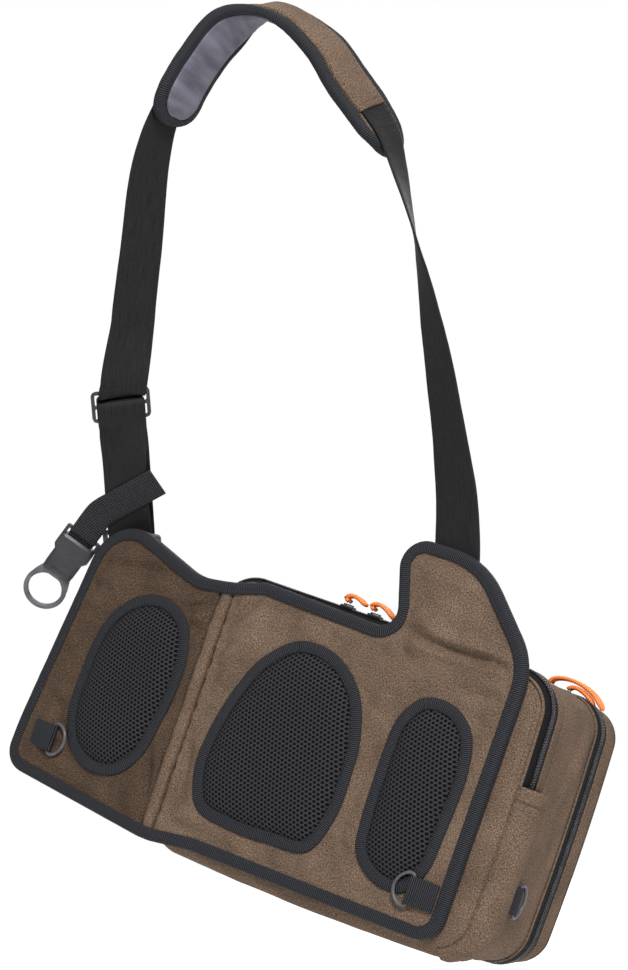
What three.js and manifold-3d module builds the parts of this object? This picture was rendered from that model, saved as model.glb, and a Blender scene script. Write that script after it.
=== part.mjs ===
// Fishing tackle sling bag, as it hangs from one shoulder: a three-part clamshell bag with a padded
// back panel, a side wing that wraps the hip, and a single shoulder strap with a curved pad.
// Millimetres, +Z up. The origin lies under the crown of the shoulder pad, where the bag hangs.
import * as THREE from 'three';
import { mergeVertices } from 'three/addons/utils/BufferGeometryUtils.js';
import Module from 'manifold-3d';

const wasm = await Module();
wasm.setup();

// Clearances and cloths
const GAP = 0.3;
const CLOTH = 2;
const DEG = Math.PI / 180;

// Bag: where its own frame sits under the strap, and how it tilts as it hangs
const BAG_AT = new THREE.Vector3(69.7, -31, -602.8);
const BAG_PITCH = -11 * DEG;
const BAG_ROLL = 15.7 * DEG;

// Compartments: full width, heights above and below the bag's middle line, depths from back to front
const BODY_WIDTH = 310;
const REAR_TOP = 118;
const REAR_BOTTOM = -117;
const FRONT_TOP = 107;
const FRONT_BOTTOM = -112;
const REAR_DEPTH = 40;
const MAIN_DEPTH = 80;
const FRONT_DEPTH = 32;
const REAR_CORNER = 32;
const FRONT_CORNER = 26;
const REAR_ROUND = 16;
const FRONT_ROUND = 9;
const BOTTOM_SAG = 5;
const TOP_SAG = 1;
const SIDE_SWELL = 3;

// Zips
const MAIN_ZIP_WIDTH = 10.5;
const REAR_ZIP_WIDTH = 9;
const REAR_ZIP_BACK = 7;
const REAR_ZIP_END = 33;
const ZIP_THICK = 1.6;
const HINGE_HALF = 100;

// Side pocket on the right wall
const POCKET_HEM = 30;
const POCKET_BACK = 5;
const POCKET_SWELL = 10;

// Back panel with its raised right wing
const PANEL_THICK = 8;
const PANEL_RIGHT = 134;
const PANEL_TOP = 113;
const PANEL_BOTTOM = -110;
const RIGHT_WING_TOP = 190.5;
const RIGHT_WING_ROOT = 15;
const RIGHT_WING_TIP = -11;

// Left wing: it bends back about the fold
const FOLD_X = -139;
const FOLD_WIDTH = 12;
const WING_BEND = 9 * DEG;
const WING_REACH = 175;
const WING_TOP = 138;
const WING_BOTTOM = -101;
const WING_NECK = 104;
const FOLD_TOP = 107;
const FOLD_BOTTOM = -115;

// Ribbed binding over the raw edges
const BINDING_WIDTH = 10.5;
const BINDING_THICK = 1;

// Mesh pads
const PAD_BINDING_WIDTH = 10;
const PAD_BINDING_THICK = 2.4;
const PAD_DOME = 8;

// Shoulder strap
const STRAP_WIDTH = 40;
const STRAP_THICK = 2;
const STRAP_STEP = 20;
const PAD_STEP = 12;
const SHOULDER_WIDTH = 65;
const SHOULDER_THICK = 6;
const SHOULDER_LINING = 1;
const SHOULDER_EDGE = 9;
const SHOULDER_RIGHT = 162;
const SHOULDER_LEFT = 142;
const SHOULDER_CORNER = 29;
const SLEEVE_THICK = 1;
const SLEEVE_WIDTH = 45;
const SLEEVE_RIGHT = 118;
const SLEEVE_LEFT = 96;
const WING_STRAP_FOOT = 53;
const WING_STRAP_HEAD = 39;
const WING_STRAP_END = 135;
const WING_STRAP_TOP = 186;

// Slider, and the ring at the left wing's top with its tab
const SLIDER_AT = new THREE.Vector3(-146.5, 0, -315);
const SLIDER_SIDE = 1.2;
const SLIDER_TURN = 40 * DEG;
const LOOP_TURN = 8 * DEG;
const TWIST_END = 48;
const SLIDER_WIDTH = 50;
const SLIDER_HEIGHT = 28;
const SLIDER_BAR = 3;
const SLIDER_THICK = 3;
const LOOP_WIDTH = 53;
const LOOP_HEIGHT = 16;
const LOOP_BAR = 4;
const LOOP_PLACE = 0.74;
const LOOP_DROP = 19;
const LOOP_STAND_OFF = 13.5;
const LOOP_TAB_LENGTH = 52;
const LOOP_TAB_SLANT = 0.25;

// Side-release buckle on its own webbing, with the accessory ring
const BUCKLE_WEB_WIDTH = 25;
const BUCKLE_WEB_THICK = 1.5;
const WEB_END_SIDE = 30;
const WEB_END_DOWN = 66;
const WEB_SLANT = 32 * DEG;
const WEB_SEWN = 64;
const BUCKLE_WEB_FREE = 27.5;
const BUCKLE_DROOP = 21 * DEG;
const BUCKLE_LEAN = 10 * DEG;
const BUCKLE_WIDTH = 34;
const BUCKLE_LENGTH = 44;
const BUCKLE_THICK = 11;
const BUCKLE_BAR = 3;
const STEM_WIDTH = 20;
const STEM_THICK = 5;
const STEM_DEPTH = 13;
const ACCESSORY_RADIUS = 19;
const ACCESSORY_BAR = 4;
const ACCESSORY_SIDES = 28;

// D-rings and the webbing tabs that hold them
const RING_WIDTH = 31;
const RING_REACH = 16;
const RING_WIRE = 2.8;
const TAB_WIDTH = 22.5;
const TAB_THICK = 1.2;
const TAB_TAPER = 7.2;
const LEFT_RING_Z = -66;
const LEFT_TAB_LENGTH = 24;
const RIGHT_RING_Z = -75;
const RIGHT_TAB_LENGTH = 22;
const SIDE_RING_Z = -58;
const SIDE_TAB_INSET = 2;
const SIDE_TAB_LENGTH = 10;

// Zip pulls
const CORD = 3.4;
const ZIP_SLIDER_WIDTH = 8;
const ZIP_SLIDER_LENGTH = 12;
const ZIP_SLIDER_HEIGHT = 4;

// Colours and finishes
const finish = (color, roughness) => () => new THREE.MeshStandardMaterial({ color, roughness });
const brownCloth = finish(0x7b695b, 0.95);
const darkBrownCloth = finish(0x5a4d42, 0.95);
const blackWebbing = finish(0x2c2c2e, 0.85);
const blackMesh = finish(0x26262a, 0.9);
const slateLining = finish(0x5b5964, 0.8);
const darkPlastic = finish(0x3b3a41, 0.45);
const greyPlastic = finish(0x5e5e62, 0.6);
const blackZip = finish(0x2a2729, 0.7);
const orangeCord = finish(0xe87a35, 0.6);

const sling = new THREE.Group();
const bag = new THREE.Group();
bag.position.copy(BAG_AT);
bag.rotation.set(BAG_PITCH, BAG_ROLL, 0);
bag.updateMatrix();
sling.add(bag);

const v = (x, y, z) => new THREE.Vector3(x, y, z);
const fromBag = (x, y, z) => v(x, y, z).applyMatrix4(bag.matrix);
const lerp = THREE.MathUtils.lerp;

function add(group, name, geometry, material) {
  const mesh = new THREE.Mesh(geometry, material());
  mesh.name = name;
  group.add(mesh);
}

// One closed solid from points and triangles, turned so that its faces point out
function solid(points, triangles) {
  let volume = 0;
  for (const [a, b, c] of triangles) {
    volume += points[a].dot(v().crossVectors(points[b], points[c]));
  }
  const index = volume > 0 ? triangles.flat() : triangles.map(([a, b, c]) => [a, c, b]).flat();
  const geometry = new THREE.BufferGeometry().setFromPoints(points);
  geometry.setIndex(index);
  geometry.computeVertexNormals();
  return geometry;
}

// Joins rows of rings with equal counts. The ends close with a fan to a middle point, with a strip
// between the two halves of a ring that doubles back, or the last row joins the first. Each four-sided
// face folds along its higher diagonal, so layers that lie on each other fold alike
function loft(rows, ends = 'fan') {
  const count = rows[0].length;
  const points = rows.flat();
  const triangles = [];
  const last = ends === 'loop' ? rows.length : rows.length - 1;
  for (let row = 0; row < last; row += 1) {
    const a = row * count;
    const b = ((row + 1) % rows.length) * count;
    for (let i = 0; i < count; i += 1) {
      const j = (i + 1) % count;
      const [p, q, r, s] = [a + i, a + j, b + j, b + i];
      const folded = points[p].z + points[r].z > points[q].z + points[s].z;
      triangles.push(...(folded ? [[p, q, r], [p, r, s]] : [[p, q, s], [q, r, s]]));
    }
  }
  if (ends === 'loop') return solid(points, triangles);
  for (const [row, side] of [[0, 1], [rows.length - 1, -1]]) {
    const a = row * count;
    const face = (i, j, k) => triangles.push(side > 0 ? [i, k, j] : [i, j, k]);
    if (ends === 'strip') {
      for (let i = 0; i < count / 2 - 1; i += 1) {
        const far = a + count - 1 - i;
        face(a + i, a + i + 1, far);
        face(a + i + 1, far - 1, far);
      }
    } else {
      const middle = points.length;
      points.push(rows[row].reduce((sum, p) => sum.add(p), v(0, 0, 0)).divideScalar(count));
      for (let i = 0; i < count; i += 1) face(middle, a + i, a + ((i + 1) % count));
    }
  }
  return solid(points, triangles);
}

// A flat outline of {x, z, r} corners, with each corner rounded to its radius
function roundCorners(corners, arcStep = 22 * DEG) {
  const points = [];
  corners.forEach((corner, i) => {
    const here = new THREE.Vector2(corner.x, corner.z);
    const before = corners[(i + corners.length - 1) % corners.length];
    const after = corners[(i + 1) % corners.length];
    const back = new THREE.Vector2(before.x, before.z).sub(here);
    const on = new THREE.Vector2(after.x, after.z).sub(here);
    const half = back.angleTo(on) / 2;
    const turn = Math.PI - 2 * half;
    if (!corner.r || turn < DEG) {
      points.push(here);
      return;
    }
    const reach = Math.min(corner.r / Math.tan(half), back.length() * 0.49, on.length() * 0.49);
    const radius = reach * Math.tan(half);
    const middle = back.clone().normalize().add(on.clone().normalize()).normalize();
    const centre = here.clone().addScaledVector(middle, radius / Math.sin(half));
    const start = back.clone().setLength(reach).add(here).sub(centre);
    const sign = Math.sign(-back.cross(on)) || 1;
    const steps = Math.max(1, Math.round(turn / arcStep));
    for (let k = 0; k <= steps; k += 1) {
      points.push(start.clone().rotateAround(new THREE.Vector2(), sign * turn * k / steps).add(centre));
    }
  });
  return points;
}

// The same outline moved inward by a distance, corner by corner
function inset(outline, distance) {
  const count = outline.length;
  const turning = Math.sign(THREE.ShapeUtils.area(outline));
  return outline.map((p, i) => {
    const a = p.clone().sub(outline[(i + count - 1) % count]).normalize();
    const b = outline[(i + 1) % count].clone().sub(p).normalize();
    const normal = new THREE.Vector2(-a.y - b.y, a.x + b.x).normalize().multiplyScalar(turning);
    const spread = Math.max(0.5, Math.abs(normal.x * -a.y + normal.y * a.x));
    return p.clone().addScaledVector(normal, distance / spread);
  });
}

// A slab over an outline between two heights, its rims drawn in by a soft edge
function plate(outline, low, high, edge, place) {
  const inner = inset(outline, edge);
  const levels = [[inner, low], [outline, low + edge], [outline, high - edge], [inner, high]];
  const count = outline.length;
  const points = levels.flatMap(([line, n]) => line.map((p) => place(p.x, n, p.y)));
  const triangles = [];
  for (let row = 0; row < levels.length - 1; row += 1) {
    for (let i = 0; i < count; i += 1) {
      const a = row * count + i;
      const b = row * count + ((i + 1) % count);
      triangles.push([a, b, b + count], [a, b + count, a + count]);
    }
  }
  const turned = THREE.ShapeUtils.area(outline) > 0;
  const top = (levels.length - 1) * count;
  const cap = THREE.ShapeUtils.triangulateShape(turned ? inner : [...inner].reverse(), []);
  for (const face of cap) {
    const [a, b, c] = turned ? face : face.map((i) => count - 1 - i);
    const facing = turned ? [a, b, c] : [a, c, b];
    triangles.push([facing[0], facing[2], facing[1]]);
    triangles.push(facing.map((i) => i + top));
  }
  return solid(points, triangles);
}

// A section of {inset, n} rows carried round an outline
function edging(outline, section, place) {
  const lines = section.map((s) => inset(outline, s.inset));
  const rows = outline.map((_, i) => section.map((s, k) => place(lines[k][i].x, s.n, lines[k][i].y)));
  return loft(rows, 'loop');
}

// A channel over both faces of an edge, from its outer edge inward
function channel(width, thick, low, high) {
  const corner = thick * 0.7;
  return [
    { inset: width, n: low - GAP - thick },
    { inset: corner, n: low - GAP - thick },
    { inset: 0, n: low - GAP - thick + corner },
    { inset: 0, n: high + GAP + thick - corner },
    { inset: corner, n: high + GAP + thick },
    { inset: width, n: high + GAP + thick },
    { inset: width, n: high + GAP },
    { inset: thick, n: high + GAP },
    { inset: thick, n: low - GAP },
    { inset: width, n: low - GAP },
  ];
}

// A band of webbing along points that each know the direction across it, and may know the one out of it
function band(stations, width, thick) {
  const rows = stations.map((station, i) => {
    const before = stations[Math.max(i - 1, 0)].p;
    const after = stations[Math.min(i + 1, stations.length - 1)].p;
    const along = after.clone().sub(before).normalize();
    const square = station.w.clone().addScaledVector(along, -station.w.dot(along)).normalize();
    const across = station.out ? station.w : square;
    const out = station.out ?? v().crossVectors(across, along);
    const corner = (a, b) => {
      const side = station.p.clone().addScaledVector(across, a * width / 2);
      return side.addScaledVector(out, b * thick / 2);
    };
    return [corner(-1, -1), corner(0, -1), corner(1, -1), corner(1, 1), corner(0, 1), corner(-1, 1)];
  });
  return loft(rows, 'strip');
}

// A round wire closed on itself along a loop of points
function wireLoop(points, radius, normal, sides = 6) {
  const rows = points.map((p, i) => {
    const before = points[(i + points.length - 1) % points.length];
    const along = points[(i + 1) % points.length].clone().sub(before).normalize();
    const side = v().crossVectors(along, normal).normalize();
    return Array.from({ length: sides }, (_, k) => {
      const angle = (k + 0.5) * 2 * Math.PI / sides;
      const outward = p.clone().addScaledVector(side, radius * Math.cos(angle));
      return outward.addScaledVector(normal, radius * Math.sin(angle));
    });
  });
  return loft(rows, 'loop');
}

// Manifold solids from geometries and back, for cuts
function toManifold(geometry) {
  const positions = geometry.attributes.position.array;
  const faces = Uint32Array.from(geometry.index.array);
  const mesh = new wasm.Mesh({ numProp: 3, vertProperties: positions, triVerts: faces });
  return new wasm.Manifold(mesh);
}

function fromManifold(manifold) {
  const mesh = manifold.getMesh();
  const geometry = new THREE.BufferGeometry();
  geometry.setAttribute('position', new THREE.BufferAttribute(mesh.vertProperties, 3));
  geometry.setIndex(new THREE.BufferAttribute(mesh.triVerts, 1));
  geometry.computeVertexNormals();
  return geometry;
}

// Bag walls. Ring of the wall at a depth y behind the panel, grown outward by a distance
const BODY_BACK = PANEL_THICK + BINDING_THICK + 2 * GAP;
const BODY_FRONT = BODY_BACK + REAR_DEPTH + MAIN_DEPTH + MAIN_ZIP_WIDTH + FRONT_DEPTH;
const SIDE_STEPS = 4;
const CORNER_STEPS = 5;
const LONG_STEPS = 6;
const RING = 2 * SIDE_STEPS + 4 * CORNER_STEPS + 2 * LONG_STEPS;

const rounding = (distance, radius) => {
  const short = Math.max(0, radius - distance);
  return radius - Math.sqrt(radius * radius - short * short);
};

function wallFrame(y, grow) {
  const share = (y - BODY_BACK) / (BODY_FRONT - BODY_BACK);
  const drawn = rounding(y - BODY_BACK, REAR_ROUND) + rounding(BODY_FRONT - y, FRONT_ROUND);
  const give = grow - drawn;
  return {
    half: BODY_WIDTH / 2 + give,
    top: lerp(REAR_TOP, FRONT_TOP, share) + give,
    bottom: lerp(REAR_BOTTOM, FRONT_BOTTOM, share) - give,
    corner: Math.max(4, lerp(REAR_CORNER, FRONT_CORNER, share) + give),
  };
}

function wallRing(y, grow = 0) {
  const { half, top, bottom, corner } = wallFrame(y, grow);
  const flat = [];
  const line = (x0, z0, x1, z1, steps) => {
    for (let i = 0; i < steps; i += 1) flat.push([lerp(x0, x1, i / steps), lerp(z0, z1, i / steps)]);
  };
  const arc = (cx, cz, start) => {
    for (let i = 0; i < CORNER_STEPS; i += 1) {
      const angle = start + (Math.PI / 2) * (i / CORNER_STEPS);
      flat.push([cx + corner * Math.cos(angle), cz + corner * Math.sin(angle)]);
    }
  };
  line(half, bottom + corner, half, top - corner, SIDE_STEPS);
  arc(half - corner, top - corner, 0);
  line(half - corner, top, corner - half, top, LONG_STEPS);
  arc(corner - half, top - corner, Math.PI / 2);
  line(-half, top - corner, -half, bottom + corner, SIDE_STEPS);
  arc(corner - half, bottom + corner, Math.PI);
  line(corner - half, bottom, half - corner, bottom, LONG_STEPS);
  arc(half - corner, bottom + corner, Math.PI * 1.5);
  return flat.map(([x, z]) => {
    const up = z > 0 ? z / top : z / -bottom;
    const side = x / half;
    const sag = (z > 0 ? -TOP_SAG : BOTTOM_SAG) * up ** 3 * (1 - side * side);
    return v(x + SIDE_SWELL * side ** 3 * (1 - up * up), y, z + sag);
  });
}

// A point at a fractional step round the ring
function onRing(ring, step) {
  const i = Math.floor(step);
  const from = ring[((i % RING) + RING) % RING];
  const to = ring[(((i + 1) % RING) + RING) % RING];
  return from.clone().lerp(to, step - i);
}

// Fractional steps of a height on the right and left walls, and of a place along the bottom
function wallStep(z, y) {
  const { top, bottom, corner } = wallFrame(y, 0);
  return SIDE_STEPS * (z - bottom - corner) / (top - bottom - 2 * corner);
}
const LEFT_WALL = SIDE_STEPS + 2 * CORNER_STEPS + LONG_STEPS;
const BOTTOM_START = LEFT_WALL + SIDE_STEPS + CORNER_STEPS;
function bottomStep(x, y) {
  const { half, corner } = wallFrame(y, 0);
  return BOTTOM_START + LONG_STEPS * (x + half - corner) / (2 * (half - corner));
}
const leftStep = (z, y) => LEFT_WALL + SIDE_STEPS - wallStep(z, y);

// Steps from one place to another with every corner of the ring between them
function stepsBetween(from, to) {
  const steps = [from];
  for (let i = Math.floor(from) + 1; i < to; i += 1) {
    if (i - from > 0.05 && to - i > 0.05) steps.push(i);
  }
  steps.push(to);
  return steps;
}

// A compartment: a tub with a closed face, walls of cloth and an open mouth
function tub(face, mouth, levels) {
  const toward = Math.sign(mouth - face);
  const outer = levels.map((y) => wallRing(y));
  const inside = levels.filter((y) => Math.abs(y - face) > CLOTH + GAP).reverse();
  const inner = [...inside, face + toward * CLOTH].map((y) => wallRing(y, -CLOTH));
  return loft([...outer, ...inner]);
}

const REAR_MOUTH = BODY_BACK + REAR_DEPTH;
const MAIN_FACE = REAR_MOUTH + GAP;
const MAIN_MOUTH = REAR_MOUTH + MAIN_DEPTH;
const FRONT_MOUTH = MAIN_MOUTH + MAIN_ZIP_WIDTH;
const REAR_ZIP_LOW = BODY_BACK + REAR_ZIP_BACK;
const REAR_ZIP_HIGH = REAR_ZIP_LOW + REAR_ZIP_WIDTH;
const POCKET_LOW = BODY_BACK + POCKET_BACK;
const POCKET_HIGH = REAR_MOUTH - GAP;

const rearLevels = [BODY_BACK, BODY_BACK + 2, POCKET_LOW, REAR_ZIP_LOW, REAR_ZIP_HIGH, REAR_MOUTH];
const mainLevels = [MAIN_FACE, MAIN_FACE + MAIN_DEPTH / 2, MAIN_MOUTH];
const frontLevels = [BODY_FRONT, BODY_FRONT - 0.8, BODY_FRONT - 3, BODY_FRONT - FRONT_ROUND, FRONT_MOUTH];
add(bag, 'rear_compartment', tub(BODY_BACK, REAR_MOUTH, rearLevels), brownCloth);
add(bag, 'main_compartment', tub(MAIN_FACE, MAIN_MOUTH, mainLevels), brownCloth);
add(bag, 'front_compartment', tub(BODY_FRONT, FRONT_MOUTH, frontLevels), brownCloth);

// A strip of the wall between two depths and two places on the ring
function wallStrip(low, high, from, to, outer, thick) {
  const rows = stepsBetween(from, to).map((step) => [
    onRing(wallRing(low, outer), step),
    onRing(wallRing(high, outer), step),
    onRing(wallRing(high, outer - thick), step),
    onRing(wallRing(low, outer - thick), step),
  ]);
  return loft(rows, 'strip');
}

// The main zip closes the clamshell round three sides, and a cloth hinge the bottom
const zipLow = MAIN_MOUTH + GAP;
const zipHigh = FRONT_MOUTH - GAP;
const hingeLeft = bottomStep(-HINGE_HALF, MAIN_MOUTH);
const hingeRight = bottomStep(HINGE_HALF, MAIN_MOUTH);
const hingeGap = GAP / BODY_WIDTH * LONG_STEPS;
add(bag, 'main_zip', wallStrip(zipLow, zipHigh, hingeRight - RING, hingeLeft, 0, CLOTH), blackZip);
const hingeCloth = wallStrip(zipLow, zipHigh, hingeLeft + hingeGap, hingeRight - hingeGap, 0, CLOTH);
add(bag, 'lid_hinge', hingeCloth, brownCloth);

// The rear zip lies on the wall, up the right side, over the top and down the left
const rearZipFrom = wallStep(REAR_ZIP_END, REAR_ZIP_LOW);
const rearZipTo = leftStep(REAR_ZIP_END, REAR_ZIP_LOW);
const onWall = GAP + ZIP_THICK;
const rearZip = wallStrip(REAR_ZIP_LOW, REAR_ZIP_HIGH, rearZipFrom, rearZipTo, onWall, ZIP_THICK);
add(bag, 'rear_zip', rearZip, blackZip);

// Side pocket: a cloth pouch over the right wall, open at its hem
const pocketAcross = [0, 0.06, 0.3, 0.5, 0.7, 0.94, 1];
const pocketHem = wallStep(POCKET_HEM, POCKET_LOW);
const pocketFoot = 1 - CORNER_STEPS;
function pocketSection(step) {
  const drop = (pocketHem - step) / (pocketHem - pocketFoot);
  const skin = (rise) => pocketAcross.map((share) => {
    const y = lerp(POCKET_LOW, POCKET_HIGH, share);
    const puff = POCKET_SWELL * (1 - 0.9 * drop * drop) * Math.sin(Math.PI * share) ** 0.6;
    return onRing(wallRing(y, GAP + rise + puff), step);
  });
  return [...skin(CLOTH), ...skin(0).reverse()];
}
add(bag, 'side_pocket', loft(stepsBetween(pocketFoot, pocketHem).map(pocketSection), 'strip'), brownCloth);

// The left wing's cloth is flat where it is sewn and bends back round the fold
function bend(x, y, z) {
  if (x >= FOLD_X) return v(x, y, z);
  const radius = FOLD_WIDTH / WING_BEND;
  const angle = WING_BEND * Math.min(1, (FOLD_X - x) / FOLD_WIDTH);
  const past = Math.max(0, FOLD_X - FOLD_WIDTH - x);
  const along = radius * Math.sin(angle) + past * Math.cos(angle);
  const back = radius * (1 - Math.cos(angle)) + past * Math.sin(angle);
  return v(FOLD_X - along + y * Math.sin(angle), back + y * Math.cos(angle), z);
}

// Outlines of the sewn edges, seen from the wearer's side
const WING_X = FOLD_X - FOLD_WIDTH;
const FOLD_MIDDLE = FOLD_X - FOLD_WIDTH / 2;
const wingCorners = [
  { x: WING_X, z: FOLD_TOP, r: 0 },
  { x: WING_X - WING_REACH * 0.15, z: WING_NECK, r: 60 },
  { x: FOLD_X - WING_REACH * 0.86, z: WING_TOP, r: 42 },
  { x: FOLD_X - WING_REACH, z: lerp(WING_BOTTOM, WING_TOP, 0.17), r: 200 },
  { x: FOLD_X - WING_REACH * 1.01, z: WING_BOTTOM, r: 26 },
  { x: WING_X, z: FOLD_BOTTOM, r: 0 },
];
const panelCorners = [
  { x: FOLD_X, z: FOLD_BOTTOM, r: 0 },
  { x: FOLD_X * 0.72, z: PANEL_BOTTOM, r: 60 },
  { x: PANEL_RIGHT, z: PANEL_BOTTOM, r: 22 },
  { x: PANEL_RIGHT + 2, z: PANEL_TOP + 10, r: 60 },
  { x: PANEL_RIGHT * 0.51, z: RIGHT_WING_TOP, r: 70 },
  { x: RIGHT_WING_TIP, z: RIGHT_WING_TOP, r: 22 },
  { x: RIGHT_WING_ROOT, z: PANEL_TOP, r: 14 },
  { x: FOLD_X * 0.8, z: PANEL_TOP + 4, r: 12 },
  { x: FOLD_X, z: FOLD_TOP + 2, r: 0 },
];
const sewnEdge = BINDING_THICK + GAP;
const foldEdge = sewnEdge + GAP;
const foldCorners = [
  { x: FOLD_X - GAP, z: FOLD_TOP + 2 - foldEdge, r: 0 },
  { x: WING_X + GAP, z: FOLD_TOP - foldEdge, r: 0 },
  { x: WING_X + GAP, z: FOLD_BOTTOM + foldEdge, r: 0 },
  { x: FOLD_X - GAP, z: FOLD_BOTTOM + foldEdge, r: 0 },
];

// The cloth inside the binding, cut off straight at the fold
function sewnCloth(corners, foldAt) {
  const outline = inset(roundCorners(corners), sewnEdge);
  return outline.map((p) => {
    const beyond = foldAt === FOLD_X ? p.x < FOLD_X + sewnEdge * 1.5 : p.x > WING_X - sewnEdge * 1.5;
    return beyond ? new THREE.Vector2(foldAt, p.y - 2 * GAP * Math.sign(p.y)) : p;
  });
}
const CLOTH_EDGE = 1.2;
add(bag, 'back_panel', plate(sewnCloth(panelCorners, FOLD_X), 0, PANEL_THICK, CLOTH_EDGE, bend), brownCloth);
const wingCloth = plate(sewnCloth(wingCorners, WING_X), 0, PANEL_THICK, CLOTH_EDGE, bend);
add(bag, 'left_wing', wingCloth, darkBrownCloth);
const foldOutline = foldCorners.map((c) => new THREE.Vector2(c.x, c.z));
add(bag, 'fold_strip', plate(foldOutline, 1, PANEL_THICK - 1, CLOTH_EDGE, bend), darkBrownCloth);

const foldTopMiddle = { x: FOLD_MIDDLE, z: FOLD_TOP + 1, r: 0 };
const foldBottomMiddle = { x: FOLD_MIDDLE, z: FOLD_BOTTOM, r: 0 };
const wholeEdge = roundCorners([foldTopMiddle, ...wingCorners, foldBottomMiddle, ...panelCorners]);
const edgeChannel = channel(BINDING_WIDTH, BINDING_THICK, 0, PANEL_THICK);
add(bag, 'edge_binding', edging(wholeEdge, edgeChannel, bend), blackWebbing);

// Mesh pads: where each lies, its half sizes, and its corners as shares of them
const meshPads = [
  {
    name: 'left', x: -209, z: 0, halfWidth: 49, halfHeight: 77,
    corners: [[-0.86, 1.04, 34], [1.04, 1.02, 30], [0.94, -0.4, 70], [0.5, -1.04, 22], [-1.04, -1.0, 36]],
  },
  {
    name: 'centre', x: -50, z: 0, halfWidth: 72, halfHeight: 82,
    corners: [[-0.64, 1.06, 62], [0.68, 1.04, 46], [1.02, -0.3, 90], [1.02, -1.02, 32], [-1.07, -0.94, 26]],
  },
  {
    name: 'right', x: 75, z: -5, halfWidth: 35, halfHeight: 79,
    corners: [[-0.94, 1.03, 27], [1.0, 1.03, 28], [0.98, -0.35, 60], [0.44, -1.03, 20], [-1.0, -1.0, 30]],
  },
];
const domeRows = [
  { scale: 1, rise: 0 },
  { scale: 1, rise: 0.22 },
  { scale: 0.86, rise: 0.62 },
  { scale: 0.62, rise: 0.9 },
  { scale: 0.3, rise: 1 },
];
for (const pad of meshPads) {
  const corners = pad.corners.map(([x, z, r]) => (
    { x: pad.x + x * pad.halfWidth, z: pad.z + z * pad.halfHeight, r }
  ));
  const outline = roundCorners(corners, 26 * DEG);
  const section = [
    { inset: 0, n: -GAP },
    { inset: 0, n: -GAP - PAD_BINDING_THICK * 0.6 },
    { inset: 1.5, n: -GAP - PAD_BINDING_THICK },
    { inset: PAD_BINDING_WIDTH, n: -GAP - PAD_BINDING_THICK },
    { inset: PAD_BINDING_WIDTH, n: -GAP },
  ];
  add(bag, `mesh_binding_${pad.name}`, edging(outline, section, bend), blackWebbing);
  const field = inset(outline, PAD_BINDING_WIDTH + GAP);
  const middle = field.reduce((sum, p) => sum.add(p), new THREE.Vector2()).divideScalar(field.length);
  const rows = domeRows.map((row) => field.map((p) => {
    const q = middle.clone().lerp(p, row.scale);
    return bend(q.x, -GAP - PAD_DOME * row.rise, q.y);
  }));
  add(bag, `mesh_pad_${pad.name}`, loft(rows), blackMesh);
}

// Layers of the shoulder pad, inward from the middle of the webbing
const padTop = -(STRAP_THICK / 2 + GAP + BINDING_THICK + GAP);
const padBase = padTop - SHOULDER_THICK;
const liningTop = padBase - GAP;
const crownRise = SHOULDER_LINING - liningTop;

// Shoulder strap: the route of the webbing's middle from behind the right wing, over the shoulder and
// down to the slider. Turn is the direction across the webbing, in degrees from +X about +Z, and lean its
// rise at the crown, where the webbing lies tilted
const strapBack = PANEL_THICK + BINDING_THICK + 3 * GAP + STRAP_THICK / 2;
const behindWing = (share) => {
  const x = lerp(WING_STRAP_FOOT, WING_STRAP_HEAD, share);
  const p = fromBag(x, strapBack, lerp(WING_STRAP_END, WING_STRAP_TOP, share));
  return { x: p.x, y: p.y, z: p.z, turn: 180 };
};
const STRAP_ROUTE = [
  behindWing(0),
  behindWing(0.5),
  behindWing(1),
  { x: 154, y: 19, z: -395, turn: 170 },
  { x: 150, y: 19, z: -363, turn: 161 },
  { x: 145, y: 20, z: -331, turn: 154 },
  { x: 136, y: 22, z: -282, turn: 146 },
  { x: 125, y: 25, z: -233, turn: 133 },
  { x: 114, y: 29, z: -190, turn: 117 },
  { x: 102, y: 35, z: -151, turn: 104 },
  { x: 91, y: 39, z: -117, turn: 93 },
  { x: 83, y: 40, z: -94, turn: 84 },
  { x: 71, y: 36, z: -72, turn: 78 },
  { x: 57, y: 29, z: -50, turn: 77 },
  { x: 37, y: 18, z: -17, turn: 77 },
  { x: 0, y: 0, z: crownRise, turn: 77, lean: 0.28 },
  { x: -37, y: -18, z: -5, turn: 80 },
  { x: -62, y: -31, z: -39, turn: 86 },
  { x: -75, y: -39, z: -67, turn: 86 },
  { x: -85, y: -42, z: -90, turn: 80 },
  { x: -97, y: -38, z: -124, turn: 70 },
  { x: -112, y: -26, z: -188, turn: 61 },
  { x: -123, y: -17, z: -229, turn: 57 },
  { x: -132, y: -9, z: -266, turn: 53 },
];

// Places along the route, by the length from its start
const routeCurve = new THREE.CatmullRomCurve3(STRAP_ROUTE.map((r) => v(r.x, r.y, r.z)), false, 'centripetal');
const acrossRows = STRAP_ROUTE.map((r, i) => {
  const along = routeCurve.getTangent(i / (STRAP_ROUTE.length - 1));
  const level = v(Math.cos(r.turn * DEG), Math.sin(r.turn * DEG), 0);
  return level.addScaledVector(along, -level.dot(along)).normalize().setZ(r.lean ?? level.z).normalize();
});
const acrossCurve = new THREE.CatmullRomCurve3(acrossRows, false, 'catmullrom', 0.5);
const CROWN = STRAP_ROUTE.findIndex((r) => r.lean);
const FINE = 12;
const fineCount = (STRAP_ROUTE.length - 1) * FINE;
const fineRoute = [];
for (let i = 0; i <= fineCount; i += 1) {
  const p = routeCurve.getPoint(i / fineCount);
  const length = i ? fineRoute[i - 1].length + p.distanceTo(fineRoute[i - 1].p) : 0;
  fineRoute.push({ p, length, w: acrossCurve.getPoint(i / fineCount) });
}
const ROUTE_END = fineRoute[fineCount].length;
const CROWN_AT = fineRoute[CROWN * FINE].length;

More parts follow.
